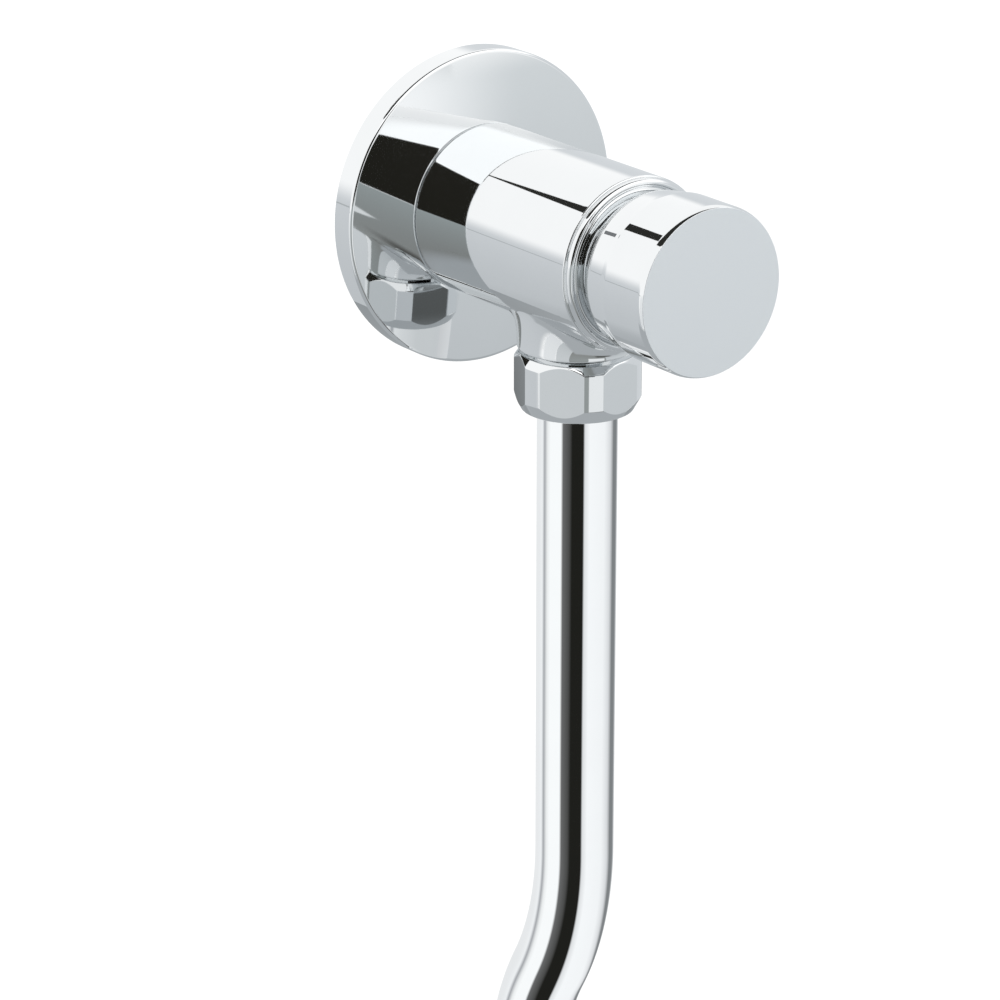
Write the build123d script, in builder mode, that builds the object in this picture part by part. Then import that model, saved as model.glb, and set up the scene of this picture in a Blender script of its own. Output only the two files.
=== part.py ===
from build123d import *

import math
import os

# Urinal flush valve: a pilot-operated piston valve behind a push button, on a wall rosette,
# with a union nut and a bent flush pipe underneath.
#
# Millimetres, +Z up. The valve's axis is the Y axis and the finished wall is the plane y = 0,
# with the room on the -Y side. A depth is a distance from the wall into the room, along -Y.
# A drop is a distance below the valve's axis, on the vertical axis of the outlet.
# Radii are measured from the axis that the piece is turned about.

# Outside sizes
body_diameter = 39.0
rosette_diameter = 72.0
pipe_diameter = 18.0
pipe_wall = 1.0
thread_diameter = 20.955  # G 1/2, on the inlet and on the outlet spigot
button_length = 22.6
nut_across_flats = 26.5
nut_sides = 6

# Travels
button_travel = 2.5
piston_travel = 3.0
relief_travel = 2.0

# Clearances
screw_gap = 0.1  # radial, a screwed or pressed-in piece in its hole
slide_gap = 0.08  # radial, a sliding piece on its guide
seal_gap = 0.05  # round a rubber ring in its groove
seat_gap = 0.1  # between a valve washer or a shoulder and its seat
stop_gap = 0.3  # between a moving piece and what it stops short of

# Rosette
rosette_height = 7.3
rosette_rim = 5.8
rosette_sheet = 1.0
rosette_edge = 0.8
rosette_hole_margin = 0.6

# Inlet nipple and strainer
nipple_tail = 18.0
nipple_reach = 5.6
nipple_bore_radius = 7.5
nipple_groove = 1.6
nipple_groove_depth = 0.9
nipple_key_flats = 12.0
nipple_key_length = 9.0
thread_chamfer = 0.8
nipple_seal_thickness = 1.8
strainer_flange = 0.4
strainer_flange_radius = 9.8
strainer_radius = 7.2
strainer_wall = 0.6
strainer_depth = 6.0
strainer_slots = 8
strainer_slot_width = 1.4
strainer_slot_length = 3.6

# Body casting
body_wall = 3.3
body_edge = 0.4
throat_wall = 1.1
throat_radius = 8.5
partition_wall = 4.0
chamber_radius = 15.5
chamber_margin = 2.5
outlet_bore_radius = 5.9
outlet_bore_margin = 0.3
boss_height = 3.8
boss_waist_radius = 12.5
boss_rim_radius = 13.5
boss_blend = 4.0
boss_flare = 3.2
boss_rim_edge = 0.3
spigot_length = 7.0
spigot_bore_radius = 8.6
spigot_bore_rise = 1.8
air_hole_radius = 0.6
air_holes = 4

# Guide cup
cup_foot = 1.3
cup_foot_radius = 11.0
cup_foot_size = 2.4
cup_feet = 4
cup_floor = 1.2
cup_wall = 1.1
cup_rim = 0.9
cup_ports = 6
cup_port_width = 5.0
cup_port_length = 4.0
nose_floor = 0.9
nose_wall = 1.2

# Piston and its trim
piston_radius = 11.9
piston_collar = 0.6
piston_collar_radius = 11.1
piston_seal_width = 2.0
piston_seal_depth = 1.4
piston_land = 1.5
piston_waist = 1.5
piston_waist_radius = 7.9
piston_flange = 1.2
washer_radius = 9.6
washer_thickness = 2.2
washer_hole_radius = 5.2
retainer_radius = 6.2
retainer_head = 1.4
retainer_thread_radius = 3.4
retainer_thread_length = 1.8
passage_radius = 1.8
spring_recess_inner = 5.2
spring_recess_outer = 7.2
spring_recess_floor = 2.4
nozzle_place_radius = 8.95
nozzle_radius = 0.85
nozzle_bore_radius = 0.5
needle_radius = 0.25

# Relief stem
relief_web = 3.4
relief_pocket_radius = 3.9
relief_radius = 3.2
relief_washer_thickness = 1.2
relief_disc = 0.9
relief_spigot = 1.0
relief_spigot_radius = 1.6
stem_radius = 1.2
stem_length = 11.0

# Seat ring
seat_ring_radius = 13.3
seat_flange = 1.2
seat_lip = 1.0
seat_lip_wall = 0.9
seat_bore_radius = 7.0
seat_key_holes = 4
seat_key_radius = 0.9
seat_key_depth = 2.0

# Bonnet, between the body and the button
bonnet_depth = 11.8
bonnet_wall = 2.5
bonnet_hollow = 3.4
bonnet_hollow_wall = 1.5
bonnet_web = 4.4
bonnet_floor_wall = 2.5
bonnet_cup_wall = 2.7
seal_groove_place = 2.2
seal_groove_depth = 1.6
body_front_wall = 0.85
lip_height = 1.6
lip_step = 0.45
lip_inset = 0.95
lip_width = 0.4
lip_round = 0.5
hub_radius = 7.0
key_hole_radius = 1.0
key_hole_depth = 1.6

# Push pin, its seal and its gland
pin_radius = 2.0
pin_seal_radius = 0.9
gland_length = 7.8
gland_radius = 4.0
clip_thickness = 0.6
clip_radius = 4.4
clip_groove_depth = 0.5
clip_mouth = 2.4

# Button and carrier
button_gap = 3.3
button_step = 0.75
button_front = 1.9
button_front_edge = 1.5
button_front_inset = 0.44
button_wall = 2.85
skirt_edge = 0.3
skirt_inset = 0.8
skirt_rise = 3.9
skirt_flare = 4.4
skirt_step = 1.4
skirt_crease = 0.25
carrier_disc = 4.0
carrier_boss = 3.0
carrier_boss_radius = 4.6
carrier_tube_wall = 1.2
guide_margin = 4.0
hub_margin = 1.0
socket_depth = 2.4

# Springs: wire diameter, mean radius and number of coils
closing_wire = 0.8
closing_mean_radius = 6.2
closing_coils = 4
relief_wire = 0.5
relief_mean_radius = 2.5
relief_coils = 4
button_wire = 1.0
button_mean_radius = 10.5
button_coils = 6

# Outlet union and flush pipe
interrupter_flange = 1.2
interrupter_wall = 0.8
interrupter_windows = 6
interrupter_window_width = 2.6
interrupter_window_length = 3.0
sleeve_wall = 0.7
sleeve_length = 6.0
gasket_thickness = 1.8
collar_thickness = 1.2
thrust_thickness = 0.8
nut_gap = 1.0
nut_lip = 2.2
nut_corner_radius = 14.2
nut_top_inset = 0.25
nut_top_cone = 1.8
nut_bottom_inset = 0.75
nut_bottom_cone = 3.1
nut_turn = 37.9  # degrees, one flat's normal from +X seen from above
pipe_straight = 110.7
pipe_bend_radius = 70.0
pipe_bend_angle = 30.0
pipe_end_length = 16.0

# Depths, worked out from the wall to the button
body_radius = body_diameter / 2
thread_radius = thread_diameter / 2
socket_radius = thread_radius + screw_gap
nipple_front = rosette_height + nipple_reach
socket_floor = nipple_front + strainer_flange + seat_gap
inlet_rear = socket_floor + throat_wall
cup_rear = inlet_rear + cup_foot
cup_inside = cup_rear + cup_floor
piston_rear = cup_inside + piston_travel + stop_gap
piston_groove_rear = piston_rear + piston_collar
piston_groove_front = piston_groove_rear + piston_seal_width
piston_land_front = piston_groove_front + piston_land
piston_flange_rear = piston_land_front + piston_waist
piston_front = piston_flange_rear + piston_flange
washer_front = piston_front + washer_thickness
seat_lip_rear = washer_front + seat_gap
seat_rear = seat_lip_rear + seat_lip
partition_rear = seat_rear + seat_flange
partition_front = partition_rear + partition_wall
wall_to_outlet = partition_front + outlet_bore_margin + outlet_bore_radius
bonnet_seat = wall_to_outlet + outlet_bore_radius + chamber_margin
body_front = bonnet_seat + bonnet_depth
button_rear = body_front + button_gap
wall_to_face = button_rear + button_length

# Drops, worked out from the valve's axis to the pipe's end
boss_bottom = body_radius + boss_height
spigot_bottom = boss_bottom + spigot_length
interrupter_bottom = spigot_bottom + interrupter_flange
pipe_top = interrupter_bottom + gasket_thickness
collar_bottom = pipe_top + collar_thickness
thrust_bottom = collar_bottom + thrust_thickness
nut_top = boss_bottom + nut_gap
nut_bottom = thrust_bottom + nut_lip
pipe_bend_start = pipe_top + pipe_straight

# Radii that pieces share
inlet_radius = body_radius - body_wall
cup_inner_radius = piston_radius + slide_gap
cup_outer_radius = cup_inner_radius + cup_wall
bonnet_bore_radius = body_radius - bonnet_wall
bonnet_radius = bonnet_bore_radius - screw_gap
button_radius = body_radius - button_step
button_mouth_radius = button_radius - button_wall
pipe_radius = pipe_diameter / 2
rosette_radius = rosette_diameter / 2

side = Plane((0, 0, 0), x_dir=(1, 0, 0), z_dir=(0, 0, -1))  # local (radius, depth)
outlet_side = Plane((0, -wall_to_outlet, 0), x_dir=(1, 0, 0), z_dir=(0, 1, 0))  # (radius, drop)
outlet_axis = Axis((0, -wall_to_outlet, 0), (0, 0, 1))


def across(depth):
    """Plane square to the valve's axis at a depth, facing the room, with local y upwards."""
    return Plane((0, -depth, 0), x_dir=(1, 0, 0), z_dir=(0, -1, 0))


def level(drop):
    """Horizontal plane at a drop, facing down, on the outlet's axis."""
    return Plane((0, -wall_to_outlet, -drop), x_dir=(1, 0, 0), z_dir=(0, 0, -1))


def save(piece, name):
    """Labels a finished piece and writes its file."""
    piece.part.label = name
    export_step(piece.part, f"parts/{name}.step")


os.makedirs("parts", exist_ok=True)

# Wall rosette: a sheet cover whose face is a shallow dome with a flat seat for the body
dome_start = rosette_radius - rosette_edge
seat_margin = body_radius + screw_gap
dome_radius = (dome_start**2 - seat_margin**2) / (2 * (rosette_height - rosette_rim))
rosette_hole_radius = thread_radius + rosette_hole_margin
rosette_inside = rosette_height - rosette_sheet
with BuildPart() as wall_rosette:
    with BuildSketch(side):
        with BuildLine():
            Polyline(
                (rosette_radius - rosette_sheet, rosette_rim - rosette_edge),
                (rosette_radius - rosette_sheet, 0),
                (rosette_radius, 0),
                (rosette_radius, rosette_rim - rosette_edge),
            )
            RadiusArc(
                (rosette_radius, rosette_rim - rosette_edge), (dome_start, rosette_rim), -rosette_edge
            )
            RadiusArc((dome_start, rosette_rim), (seat_margin, rosette_height), -dome_radius)
            Polyline(
                (seat_margin, rosette_height),
                (rosette_hole_radius, rosette_height),
                (rosette_hole_radius, rosette_inside),
                (seat_margin, rosette_inside),
            )
            RadiusArc(
                (seat_margin, rosette_inside),
                (rosette_radius - rosette_sheet, rosette_rim - rosette_edge),
                dome_radius,
            )
        make_face()
    revolve(axis=Axis.Y)
save(wall_rosette, "wall_rosette")

# Inlet nipple: male thread for the wall fitting, relief groove, and a hexagon socket at its tail
nipple_rear = -nipple_tail - thread_chamfer
groove_radius = thread_radius - nipple_groove_depth
with BuildPart() as inlet_nipple:
    with BuildSketch(side):
        with BuildLine():
            Polyline(
                (0, nipple_rear),
                (thread_radius - thread_chamfer, nipple_rear),
                (thread_radius, -nipple_tail),
                (thread_radius, 0),
                (groove_radius, 0),
                (groove_radius, nipple_groove),
                (thread_radius, nipple_groove),
                (thread_radius, nipple_front - thread_chamfer),
                (thread_radius - thread_chamfer, nipple_front),
                (0, nipple_front),
                close=True,
            )
        make_face()
    revolve(axis=Axis.Y)
    with BuildSketch(across(nipple_rear)):
        RegularPolygon(nipple_key_flats / 2, 6, major_radius=False)
    extrude(amount=nipple_key_length, mode=Mode.SUBTRACT)
    with BuildSketch(across(nipple_rear + nipple_key_length)):
        Circle(nipple_bore_radius)
    extrude(amount=nipple_front - nipple_rear - nipple_key_length, mode=Mode.SUBTRACT)
save(inlet_nipple, "inlet_nipple")

# O-ring between the nipple and the mouth of the body
nipple_seal_radius = nipple_seal_thickness / 2
nipple_seal_depth = rosette_height + seal_gap + nipple_seal_radius
nipple_seal_place = thread_radius + seal_gap + nipple_seal_radius
mouth_radius = thread_radius + nipple_seal_thickness + 2 * seal_gap
mouth_floor = rosette_height + nipple_seal_thickness + 2 * seal_gap
with BuildPart() as nipple_o_ring:
    with BuildSketch(side):
        with Locations((nipple_seal_place, nipple_seal_depth)):
            Circle(nipple_seal_radius)
    revolve(axis=Axis.Y)
save(nipple_o_ring, "nipple_o_ring")

# Strainer: a slotted cup that hangs back into the nipple's bore from a thin flange
strainer_front = nipple_front + strainer_flange
strainer_rear = strainer_front - strainer_depth
with BuildPart() as inlet_strainer:
    with BuildSketch(across(strainer_rear)):
        Circle(strainer_radius)
    extrude(amount=strainer_depth)
    with BuildSketch(across(nipple_front)):
        Circle(strainer_flange_radius)
    extrude(amount=strainer_flange)
    with BuildSketch(across(strainer_rear + strainer_wall)):
        Circle(strainer_radius - strainer_wall)
    extrude(amount=strainer_depth - strainer_wall, mode=Mode.SUBTRACT)
    with BuildSketch(across(strainer_rear + 2 * strainer_wall)):
        with PolarLocations(strainer_radius, strainer_slots):
            Rectangle(4 * strainer_wall, strainer_slot_width)
    extrude(amount=strainer_slot_length, mode=Mode.SUBTRACT)
save(inlet_strainer, "inlet_strainer")

# Body: a plain round casting with a blended outlet boss and a threaded spigot underneath, cored
# from the inlet socket through the partition to the outlet chamber
front_bore_radius = body_radius - body_front_wall
button_stop_depth = button_rear - button_travel - stop_gap
shoulder_depth = button_stop_depth - bonnet_floor_wall
spigot_bore_top = boss_bottom - spigot_bore_rise
with BuildPart() as valve_body:
    with BuildSketch(across(rosette_height)):
        Circle(body_radius)
    extrude(amount=body_front - rosette_height)
    fillet(valve_body.edges().group_by(Axis.Y)[0], body_edge)
    with BuildSketch(outlet_side):
        with BuildLine():
            Polyline(
                (boss_waist_radius, boss_bottom - boss_flare),
                (boss_waist_radius, body_radius / 2),
                (0, body_radius / 2),
                (0, boss_bottom),
                (boss_rim_radius - boss_rim_edge, boss_bottom),
                (boss_rim_radius, boss_bottom - boss_rim_edge),
            )
            TangentArc(
                (boss_waist_radius, boss_bottom - boss_flare),
                (boss_rim_radius, boss_bottom - boss_rim_edge),
                tangent=(0, 1),
            )
        make_face()
    revolve(axis=outlet_axis)
    saddle = valve_body.edges().filter_by(lambda e: e.geom_type == GeomType.BSPLINE)
    fillet(saddle, boss_blend)
    with BuildSketch(level(boss_bottom)):
        Circle(thread_radius)
    extrude(amount=spigot_length)
    chamfer(valve_body.edges().group_by(Axis.Z)[0], thread_chamfer / 2)
    with BuildSketch(side):
        with BuildLine():
            Polyline(
                (0, rosette_height),
                (mouth_radius, rosette_height),
                (mouth_radius, mouth_floor),
                (socket_radius, mouth_floor),
                (socket_radius, socket_floor),
                (throat_radius, socket_floor),
                (throat_radius, inlet_rear),
                (inlet_radius, inlet_rear),
                (inlet_radius, partition_rear),
                (seat_ring_radius + screw_gap, partition_rear),
                (seat_ring_radius + screw_gap, partition_front),
                (chamber_radius, partition_front),
                (chamber_radius, bonnet_seat),
                (bonnet_bore_radius, bonnet_seat),
                (bonnet_bore_radius, shoulder_depth - seat_gap),
                (front_bore_radius, shoulder_depth - seat_gap),
                (front_bore_radius, body_front),
                (0, body_front),
                close=True,
            )
        make_face()
    revolve(axis=Axis.Y, mode=Mode.SUBTRACT)
    with BuildSketch(level(chamber_radius / 2)):
        Circle(outlet_bore_radius)
    extrude(amount=spigot_bottom - chamber_radius / 2, mode=Mode.SUBTRACT)
    with BuildSketch(level(spigot_bore_top)):
        Circle(spigot_bore_radius)
    extrude(amount=spigot_bottom - spigot_bore_top, mode=Mode.SUBTRACT)
    with Locations(level(boss_bottom + air_hole_radius + nut_gap / 5)):
        with PolarLocations(0, air_holes, start_angle=180 / air_holes):
            Cylinder(
                air_hole_radius,
                thread_radius + thread_chamfer,
                rotation=(0, 90, 0),
                align=(Align.CENTER, Align.CENTER, Align.MIN),
                mode=Mode.SUBTRACT,
            )
save(valve_body, "valve_body")

# Guide cup: stands on feet in the inlet chamber, open to the front, with water windows behind
# its rim and a nose at the back that gives the relief spring its length
relief_front = piston_front - relief_web
relief_washer_front = relief_front - seat_gap
relief_disc_front = relief_washer_front - relief_washer_thickness
relief_disc_rear = relief_disc_front - relief_disc
relief_rear = relief_disc_rear - relief_spigot
relief_spring_solid = relief_wire * (relief_coils + 1)
nose_inside = relief_disc_rear - relief_spring_solid - piston_travel - relief_travel - stop_gap
nose_bore_radius = relief_radius + stop_gap
nose_rear = nose_inside - nose_floor
port_rear = seat_rear - cup_rim - cup_port_length
with BuildPart() as guide_cup:
    with BuildSketch(side):
        with BuildLine():
            Polyline(
                (0, nose_rear),
                (nose_bore_radius + nose_wall, nose_rear),
                (nose_bore_radius + nose_wall, cup_rear),
                (cup_outer_radius, cup_rear),
                (cup_outer_radius, seat_rear),
                (cup_inner_radius, seat_rear),
                (cup_inner_radius, cup_inside),
                (nose_bore_radius, cup_inside),
                (nose_bore_radius, nose_inside),
                (0, nose_inside),
                close=True,
            )
        make_face()
    revolve(axis=Axis.Y)
    with BuildSketch(across(inlet_rear)):
        with PolarLocations(cup_foot_radius, cup_feet):
            Rectangle(cup_foot_size, cup_foot_size)
    extrude(amount=cup_foot)
    with BuildSketch(across(port_rear)):
        with PolarLocations(cup_outer_radius, cup_ports, start_angle=180 / cup_ports):
            Rectangle(4 * cup_wall, cup_port_width)
    extrude(amount=cup_port_length, mode=Mode.SUBTRACT)
save(guide_cup, "guide_cup")

# Cleaning needle: a wire that stands on the cup's floor, in the nozzle at every piston position
needle_tip = piston_flange_rear - piston_travel - stop_gap
with BuildPart() as cleaning_needle:
    with BuildSketch(across(cup_inside)):
        with Locations((0, nozzle_place_radius)):
            Circle(needle_radius)
    extrude(amount=needle_tip - cup_inside)
save(cleaning_needle, "cleaning_needle")

# Piston: collar and land with the seal groove between them, waist, and the washer's flange
recess_front = piston_front - spring_recess_floor
with BuildPart() as piston:
    with BuildSketch(side):
        with BuildLine():
            Polyline(
                (relief_pocket_radius, relief_front),
                (relief_pocket_radius, piston_rear),
                (spring_recess_inner, piston_rear),
                (spring_recess_inner, recess_front),
                (spring_recess_outer, recess_front),
                (spring_recess_outer, piston_rear),
                (piston_collar_radius, piston_rear),
                (piston_collar_radius, piston_groove_rear),
                (piston_radius - piston_seal_depth, piston_groove_rear),
                (piston_radius - piston_seal_depth, piston_groove_front),
                (piston_radius, piston_groove_front),
                (piston_radius, piston_land_front),
                (piston_waist_radius, piston_land_front),
                (piston_waist_radius, piston_flange_rear),
                (washer_radius + screw_gap, piston_flange_rear),
                (washer_radius + screw_gap, piston_front),
                (retainer_thread_radius + screw_gap, piston_front),
                (retainer_thread_radius + screw_gap, piston_front - retainer_thread_length - seat_gap),
                (passage_radius, piston_front - retainer_thread_length - seat_gap),
                (passage_radius, relief_front),
                close=True,
            )
        make_face()
    revolve(axis=Axis.Y)
    with BuildSketch(across(piston_rear)):
        with Locations((0, nozzle_place_radius)):
            Circle(nozzle_radius + screw_gap)
    extrude(amount=piston_land_front - piston_rear, mode=Mode.SUBTRACT)
save(piston, "piston")

# Lip seal in the piston's groove, open towards the pressure behind the piston
seal_inner = piston_radius - piston_seal_depth + seal_gap
seal_outer = cup_inner_radius - seal_gap / 2
seal_third = (seal_outer - seal_inner) / 3
with BuildPart() as piston_cup:
    with BuildSketch(side):
        with BuildLine():
            Polyline(
                (seal_inner, piston_groove_rear + seal_gap),
                (seal_inner + seal_third, piston_groove_rear + seal_gap),
                (seal_inner + 1.5 * seal_third, piston_groove_front - piston_seal_width / 3),
                (seal_outer - seal_third, piston_groove_rear + seal_gap),
                (seal_outer, piston_groove_rear + seal_gap),
                (seal_outer, piston_groove_front - seal_gap),
                (seal_inner, piston_groove_front - seal_gap),
                close=True,
            )
        make_face()
    revolve(axis=Axis.Y)
save(piston_cup, "piston_cup")

# Bleed nozzle: the bush in the land through which water creeps behind the piston
with BuildPart() as bleed_nozzle:
    with BuildSketch(across(piston_rear)):
        with Locations((0, nozzle_place_radius)):
            Circle(nozzle_radius)
            Circle(nozzle_bore_radius, mode=Mode.SUBTRACT)
    extrude(amount=piston_land_front - piston_rear)
save(bleed_nozzle, "bleed_nozzle")

# Main washer, and the retainer that is screwed into the piston through it
with BuildPart() as seat_washer:
    with BuildSketch(across(piston_front)):
        Circle(washer_radius)
        Circle(washer_hole_radius, mode=Mode.SUBTRACT)
    extrude(amount=washer_thickness)
save(seat_washer, "seat_washer")

with BuildPart() as washer_retainer:
    with BuildSketch(side):
        with BuildLine():
            Polyline(
                (passage_radius, piston_front - retainer_thread_length),
                (retainer_thread_radius, piston_front - retainer_thread_length),
                (retainer_thread_radius, piston_front),
                (washer_hole_radius - screw_gap, piston_front),
                (washer_hole_radius - screw_gap, washer_front),
                (retainer_radius, washer_front),
                (retainer_radius, washer_front + retainer_head / 2),
                (washer_hole_radius, washer_front + retainer_head),
                (passage_radius, washer_front + retainer_head),
                close=True,
            )
        make_face()
    revolve(axis=Axis.Y)
save(washer_retainer, "washer_retainer")

# Relief stem: spring spigot, disc and the long pin that reaches through the piston
with BuildPart() as relief_stem:
    with BuildSketch(across(relief_rear)):
        Circle(relief_spigot_radius)
    extrude(amount=relief_spigot)
    with BuildSketch(across(relief_disc_rear)):
        Circle(relief_radius)
    extrude(amount=relief_disc)
    with BuildSketch(across(relief_disc_front)):
        Circle(stem_radius)
    extrude(amount=stem_length)
    fillet(relief_stem.edges().group_by(Axis.Y)[0], stem_radius / 3)
save(relief_stem, "relief_stem")

with BuildPart() as relief_washer:
    with BuildSketch(across(relief_disc_front)):
        Circle(relief_radius)
        Circle(stem_radius + seal_gap, mode=Mode.SUBTRACT)
    extrude(amount=relief_washer_thickness)
save(relief_washer, "relief_washer")

# Seat ring: screwed into the partition, clamps the guide cup and carries the raised seat
with BuildPart() as valve_seat:
    with BuildSketch(side):
        with BuildLine():
            Polyline(
                (seat_bore_radius, seat_lip_rear),
                (seat_bore_radius + seat_lip_wall / 2, seat_lip_rear),
                (seat_bore_radius + seat_lip_wall, seat_rear),
                (seat_ring_radius, seat_rear),
                (seat_ring_radius, partition_front),
                (seat_bore_radius + seat_lip_wall, partition_front),
                (seat_bore_radius, partition_front - seat_lip_wall),
                close=True,
            )
        make_face()
    revolve(axis=Axis.Y)
    with BuildSketch(across(partition_front)):
        with PolarLocations((seat_bore_radius + seat_ring_radius) / 2, seat_key_holes):
            Circle(seat_key_radius)
    extrude(amount=-seat_key_depth, mode=Mode.SUBTRACT)
save(valve_seat, "valve_seat")

# Push pin: tip short of the relief stem at rest, clip groove behind the bonnet's web
web_rear = bonnet_seat + bonnet_hollow
web_front = web_rear + bonnet_web
clip_front = web_rear - seat_gap
clip_rear = clip_front - clip_thickness
stem_tip = relief_disc_front + stem_length
pin_tip = stem_tip + button_travel - relief_travel + stop_gap
carrier_front = wall_to_face - button_front
socket_end = carrier_front - carrier_disc + socket_depth
with BuildPart() as push_pin:
    with BuildSketch(across(pin_tip)):
        Circle(pin_radius)
    extrude(amount=socket_end - seat_gap - pin_tip)
    chamfer(push_pin.edges(), pin_radius / 5)
    with BuildSketch(across(clip_rear - seal_gap)):
        Circle(pin_radius)
        Circle(pin_radius - clip_groove_depth, mode=Mode.SUBTRACT)
    extrude(amount=clip_thickness + 2 * seal_gap, mode=Mode.SUBTRACT)
save(push_pin, "push_pin")

# Retaining clip: a snap ring with an open mouth in the pin's groove
with BuildPart() as retaining_clip:
    with BuildSketch(across(clip_rear)):
        Circle(clip_radius)
        Circle(pin_radius - clip_groove_depth + seal_gap, mode=Mode.SUBTRACT)
        with Locations((0, -clip_radius)):
            Rectangle(clip_mouth, 2 * clip_radius, mode=Mode.SUBTRACT)
    extrude(amount=clip_thickness)
save(retaining_clip, "retaining_clip")

# Bonnet: closes the body, with the trim lip in front of it, a recess that the button dips into,
# and the hub that guides the button's carrier
groove_rear = bonnet_seat + seal_groove_place
groove_width = seal_groove_depth + 2 * seal_gap
pin_seal_space = 2 * pin_seal_radius + 2 * seal_gap
gland_rear = web_front - bonnet_web / 2 + pin_seal_space / 2
gland_pocket = gland_rear - pin_seal_space
gland_bore_radius = gland_radius + screw_gap / 2
pin_bore_radius = pin_radius + slide_gap
carrier_rear = carrier_front - carrier_disc
hub_front = carrier_rear - carrier_boss - button_travel - hub_margin
lip_crest = body_front + lip_height
lip_outer_radius = body_radius - lip_step
lip_crest_outer = lip_outer_radius - lip_inset
lip_crest_inner = lip_crest_outer - lip_width
lip_inner_radius = lip_crest_inner - lip_round
cup_recess_radius = bonnet_radius - bonnet_cup_wall
hollow_radius = bonnet_radius - seal_groove_depth - bonnet_hollow_wall
with BuildPart() as bonnet:
    with BuildSketch(side):
        with BuildLine():
            Polyline(
                (front_bore_radius - screw_gap, body_front),
                (front_bore_radius - screw_gap, shoulder_depth),
                (bonnet_radius, shoulder_depth),
                (bonnet_radius, groove_rear + groove_width),
                (bonnet_radius - seal_groove_depth, groove_rear + groove_width),
                (bonnet_radius - seal_groove_depth, groove_rear),
                (bonnet_radius, groove_rear),
                (bonnet_radius, bonnet_seat),
                (hollow_radius, bonnet_seat),
                (hollow_radius, web_rear),
                (pin_bore_radius, web_rear),
                (pin_bore_radius, gland_pocket),
                (gland_bore_radius, gland_pocket),
                (gland_bore_radius, hub_front),
                (hub_radius, hub_front),
                (hub_radius, web_front),
                (cup_recess_radius, web_front),
                (cup_recess_radius, button_stop_depth),
                (lip_inner_radius, button_stop_depth),
                (lip_inner_radius, lip_crest - lip_round),
            )
            RadiusArc(
                (lip_inner_radius, lip_crest - lip_round), (lip_crest_inner, lip_crest), lip_round
            )
            Line((lip_crest_inner, lip_crest), (lip_crest_outer, lip_crest))
            ThreePointArc(
                (lip_crest_outer, lip_crest),
                (lip_outer_radius - lip_inset / 4, body_front + 0.6 * lip_height),
                (lip_outer_radius, body_front),
            )
            Line((lip_outer_radius, body_front), (front_bore_radius - screw_gap, body_front))
        make_face()
    revolve(axis=Axis.Y)
    with BuildSketch(across(web_front)):
        with PolarLocations(cup_recess_radius - 2 * key_hole_radius, 2):
            Circle(key_hole_radius)
    extrude(amount=-key_hole_depth, mode=Mode.SUBTRACT)
save(bonnet, "bonnet")

# O-ring round the bonnet
bonnet_seal_radius = seal_groove_depth / 2
with BuildPart() as bonnet_o_ring:
    with BuildSketch(side):
        with Locations((bonnet_radius - bonnet_seal_radius + seal_gap, groove_rear + groove_width / 2)):
            Circle(bonnet_seal_radius)
    revolve(axis=Axis.Y)
save(bonnet_o_ring, "bonnet_o_ring")

# O-ring round the push pin, under its screwed gland
with BuildPart() as pin_o_ring:
    with BuildSketch(side):
        with Locations((pin_radius + seal_gap + pin_seal_radius, gland_pocket + pin_seal_space / 2)):
            Circle(pin_seal_radius)
    revolve(axis=Axis.Y)
save(pin_o_ring, "pin_o_ring")

with BuildPart() as pin_gland:
    with BuildSketch(across(gland_rear)):
        Circle(gland_radius)
        Circle(pin_bore_radius, mode=Mode.SUBTRACT)
    extrude(amount=gland_length)
    with BuildSketch(across(gland_rear + gland_length)):
        Rectangle(2 * gland_radius, pin_radius)
    extrude(amount=-pin_radius / 2, mode=Mode.SUBTRACT)
save(pin_gland, "pin_gland")

# Button carrier: disc behind the button's face with a guide tube over the bonnet's hub
tube_inner_radius = hub_radius + slide_gap
tube_outer_radius = tube_inner_radius + carrier_tube_wall
tube_rear = web_front + button_travel + guide_margin
with BuildPart() as button_carrier:
    with BuildSketch(side):
        with BuildLine():
            Polyline(
                (0, socket_end),
                (pin_radius + seal_gap, socket_end),
                (pin_radius + seal_gap, carrier_rear - carrier_boss),
                (carrier_boss_radius, carrier_rear - carrier_boss),
                (carrier_boss_radius, carrier_rear),
                (tube_inner_radius, carrier_rear),
                (tube_inner_radius, tube_rear),
                (tube_outer_radius, tube_rear),
                (tube_outer_radius, carrier_rear),
                (button_mouth_radius - screw_gap, carrier_rear),
                (button_mouth_radius - screw_gap, carrier_front),
                (0, carrier_front),
                close=True,
            )
        make_face()
    revolve(axis=Axis.Y)
save(button_carrier, "button_carrier")

# Push button: a cap whose skirt curves in at the back, flares to a soft crease and runs straight
# to the rounded front edge
skirt_shoulder_radius = button_radius - skirt_inset
skirt_shoulder = button_rear + skirt_rise
skirt_crease_depth = skirt_shoulder + skirt_flare
with BuildPart() as push_button:
    with BuildSketch(side):
        with BuildLine():
            Polyline(
                (0, carrier_front),
                (button_mouth_radius, carrier_front),
                (button_mouth_radius, button_rear),
                (button_mouth_radius + skirt_edge, button_rear),
            )
            TangentArc(
                (skirt_shoulder_radius, skirt_shoulder),
                (button_mouth_radius + skirt_edge, button_rear),
                tangent=(
                    skirt_shoulder_radius - (button_radius - skirt_crease),
                    skirt_shoulder - skirt_crease_depth,
                ),
            )
            Polyline(
                (skirt_shoulder_radius, skirt_shoulder),
                (button_radius - skirt_crease, skirt_crease_depth),
                (button_radius, skirt_crease_depth + skirt_step),
                (button_radius, wall_to_face - button_front_edge),
            )
            TangentArc(
                (button_radius, wall_to_face - button_front_edge),
                (button_radius - button_front_inset, wall_to_face),
                tangent=(0, 1),
            )
            Polyline(
                (button_radius - button_front_inset, wall_to_face), (0, wall_to_face), (0, carrier_front)
            )
        make_face()
    revolve(axis=Axis.Y)
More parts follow.
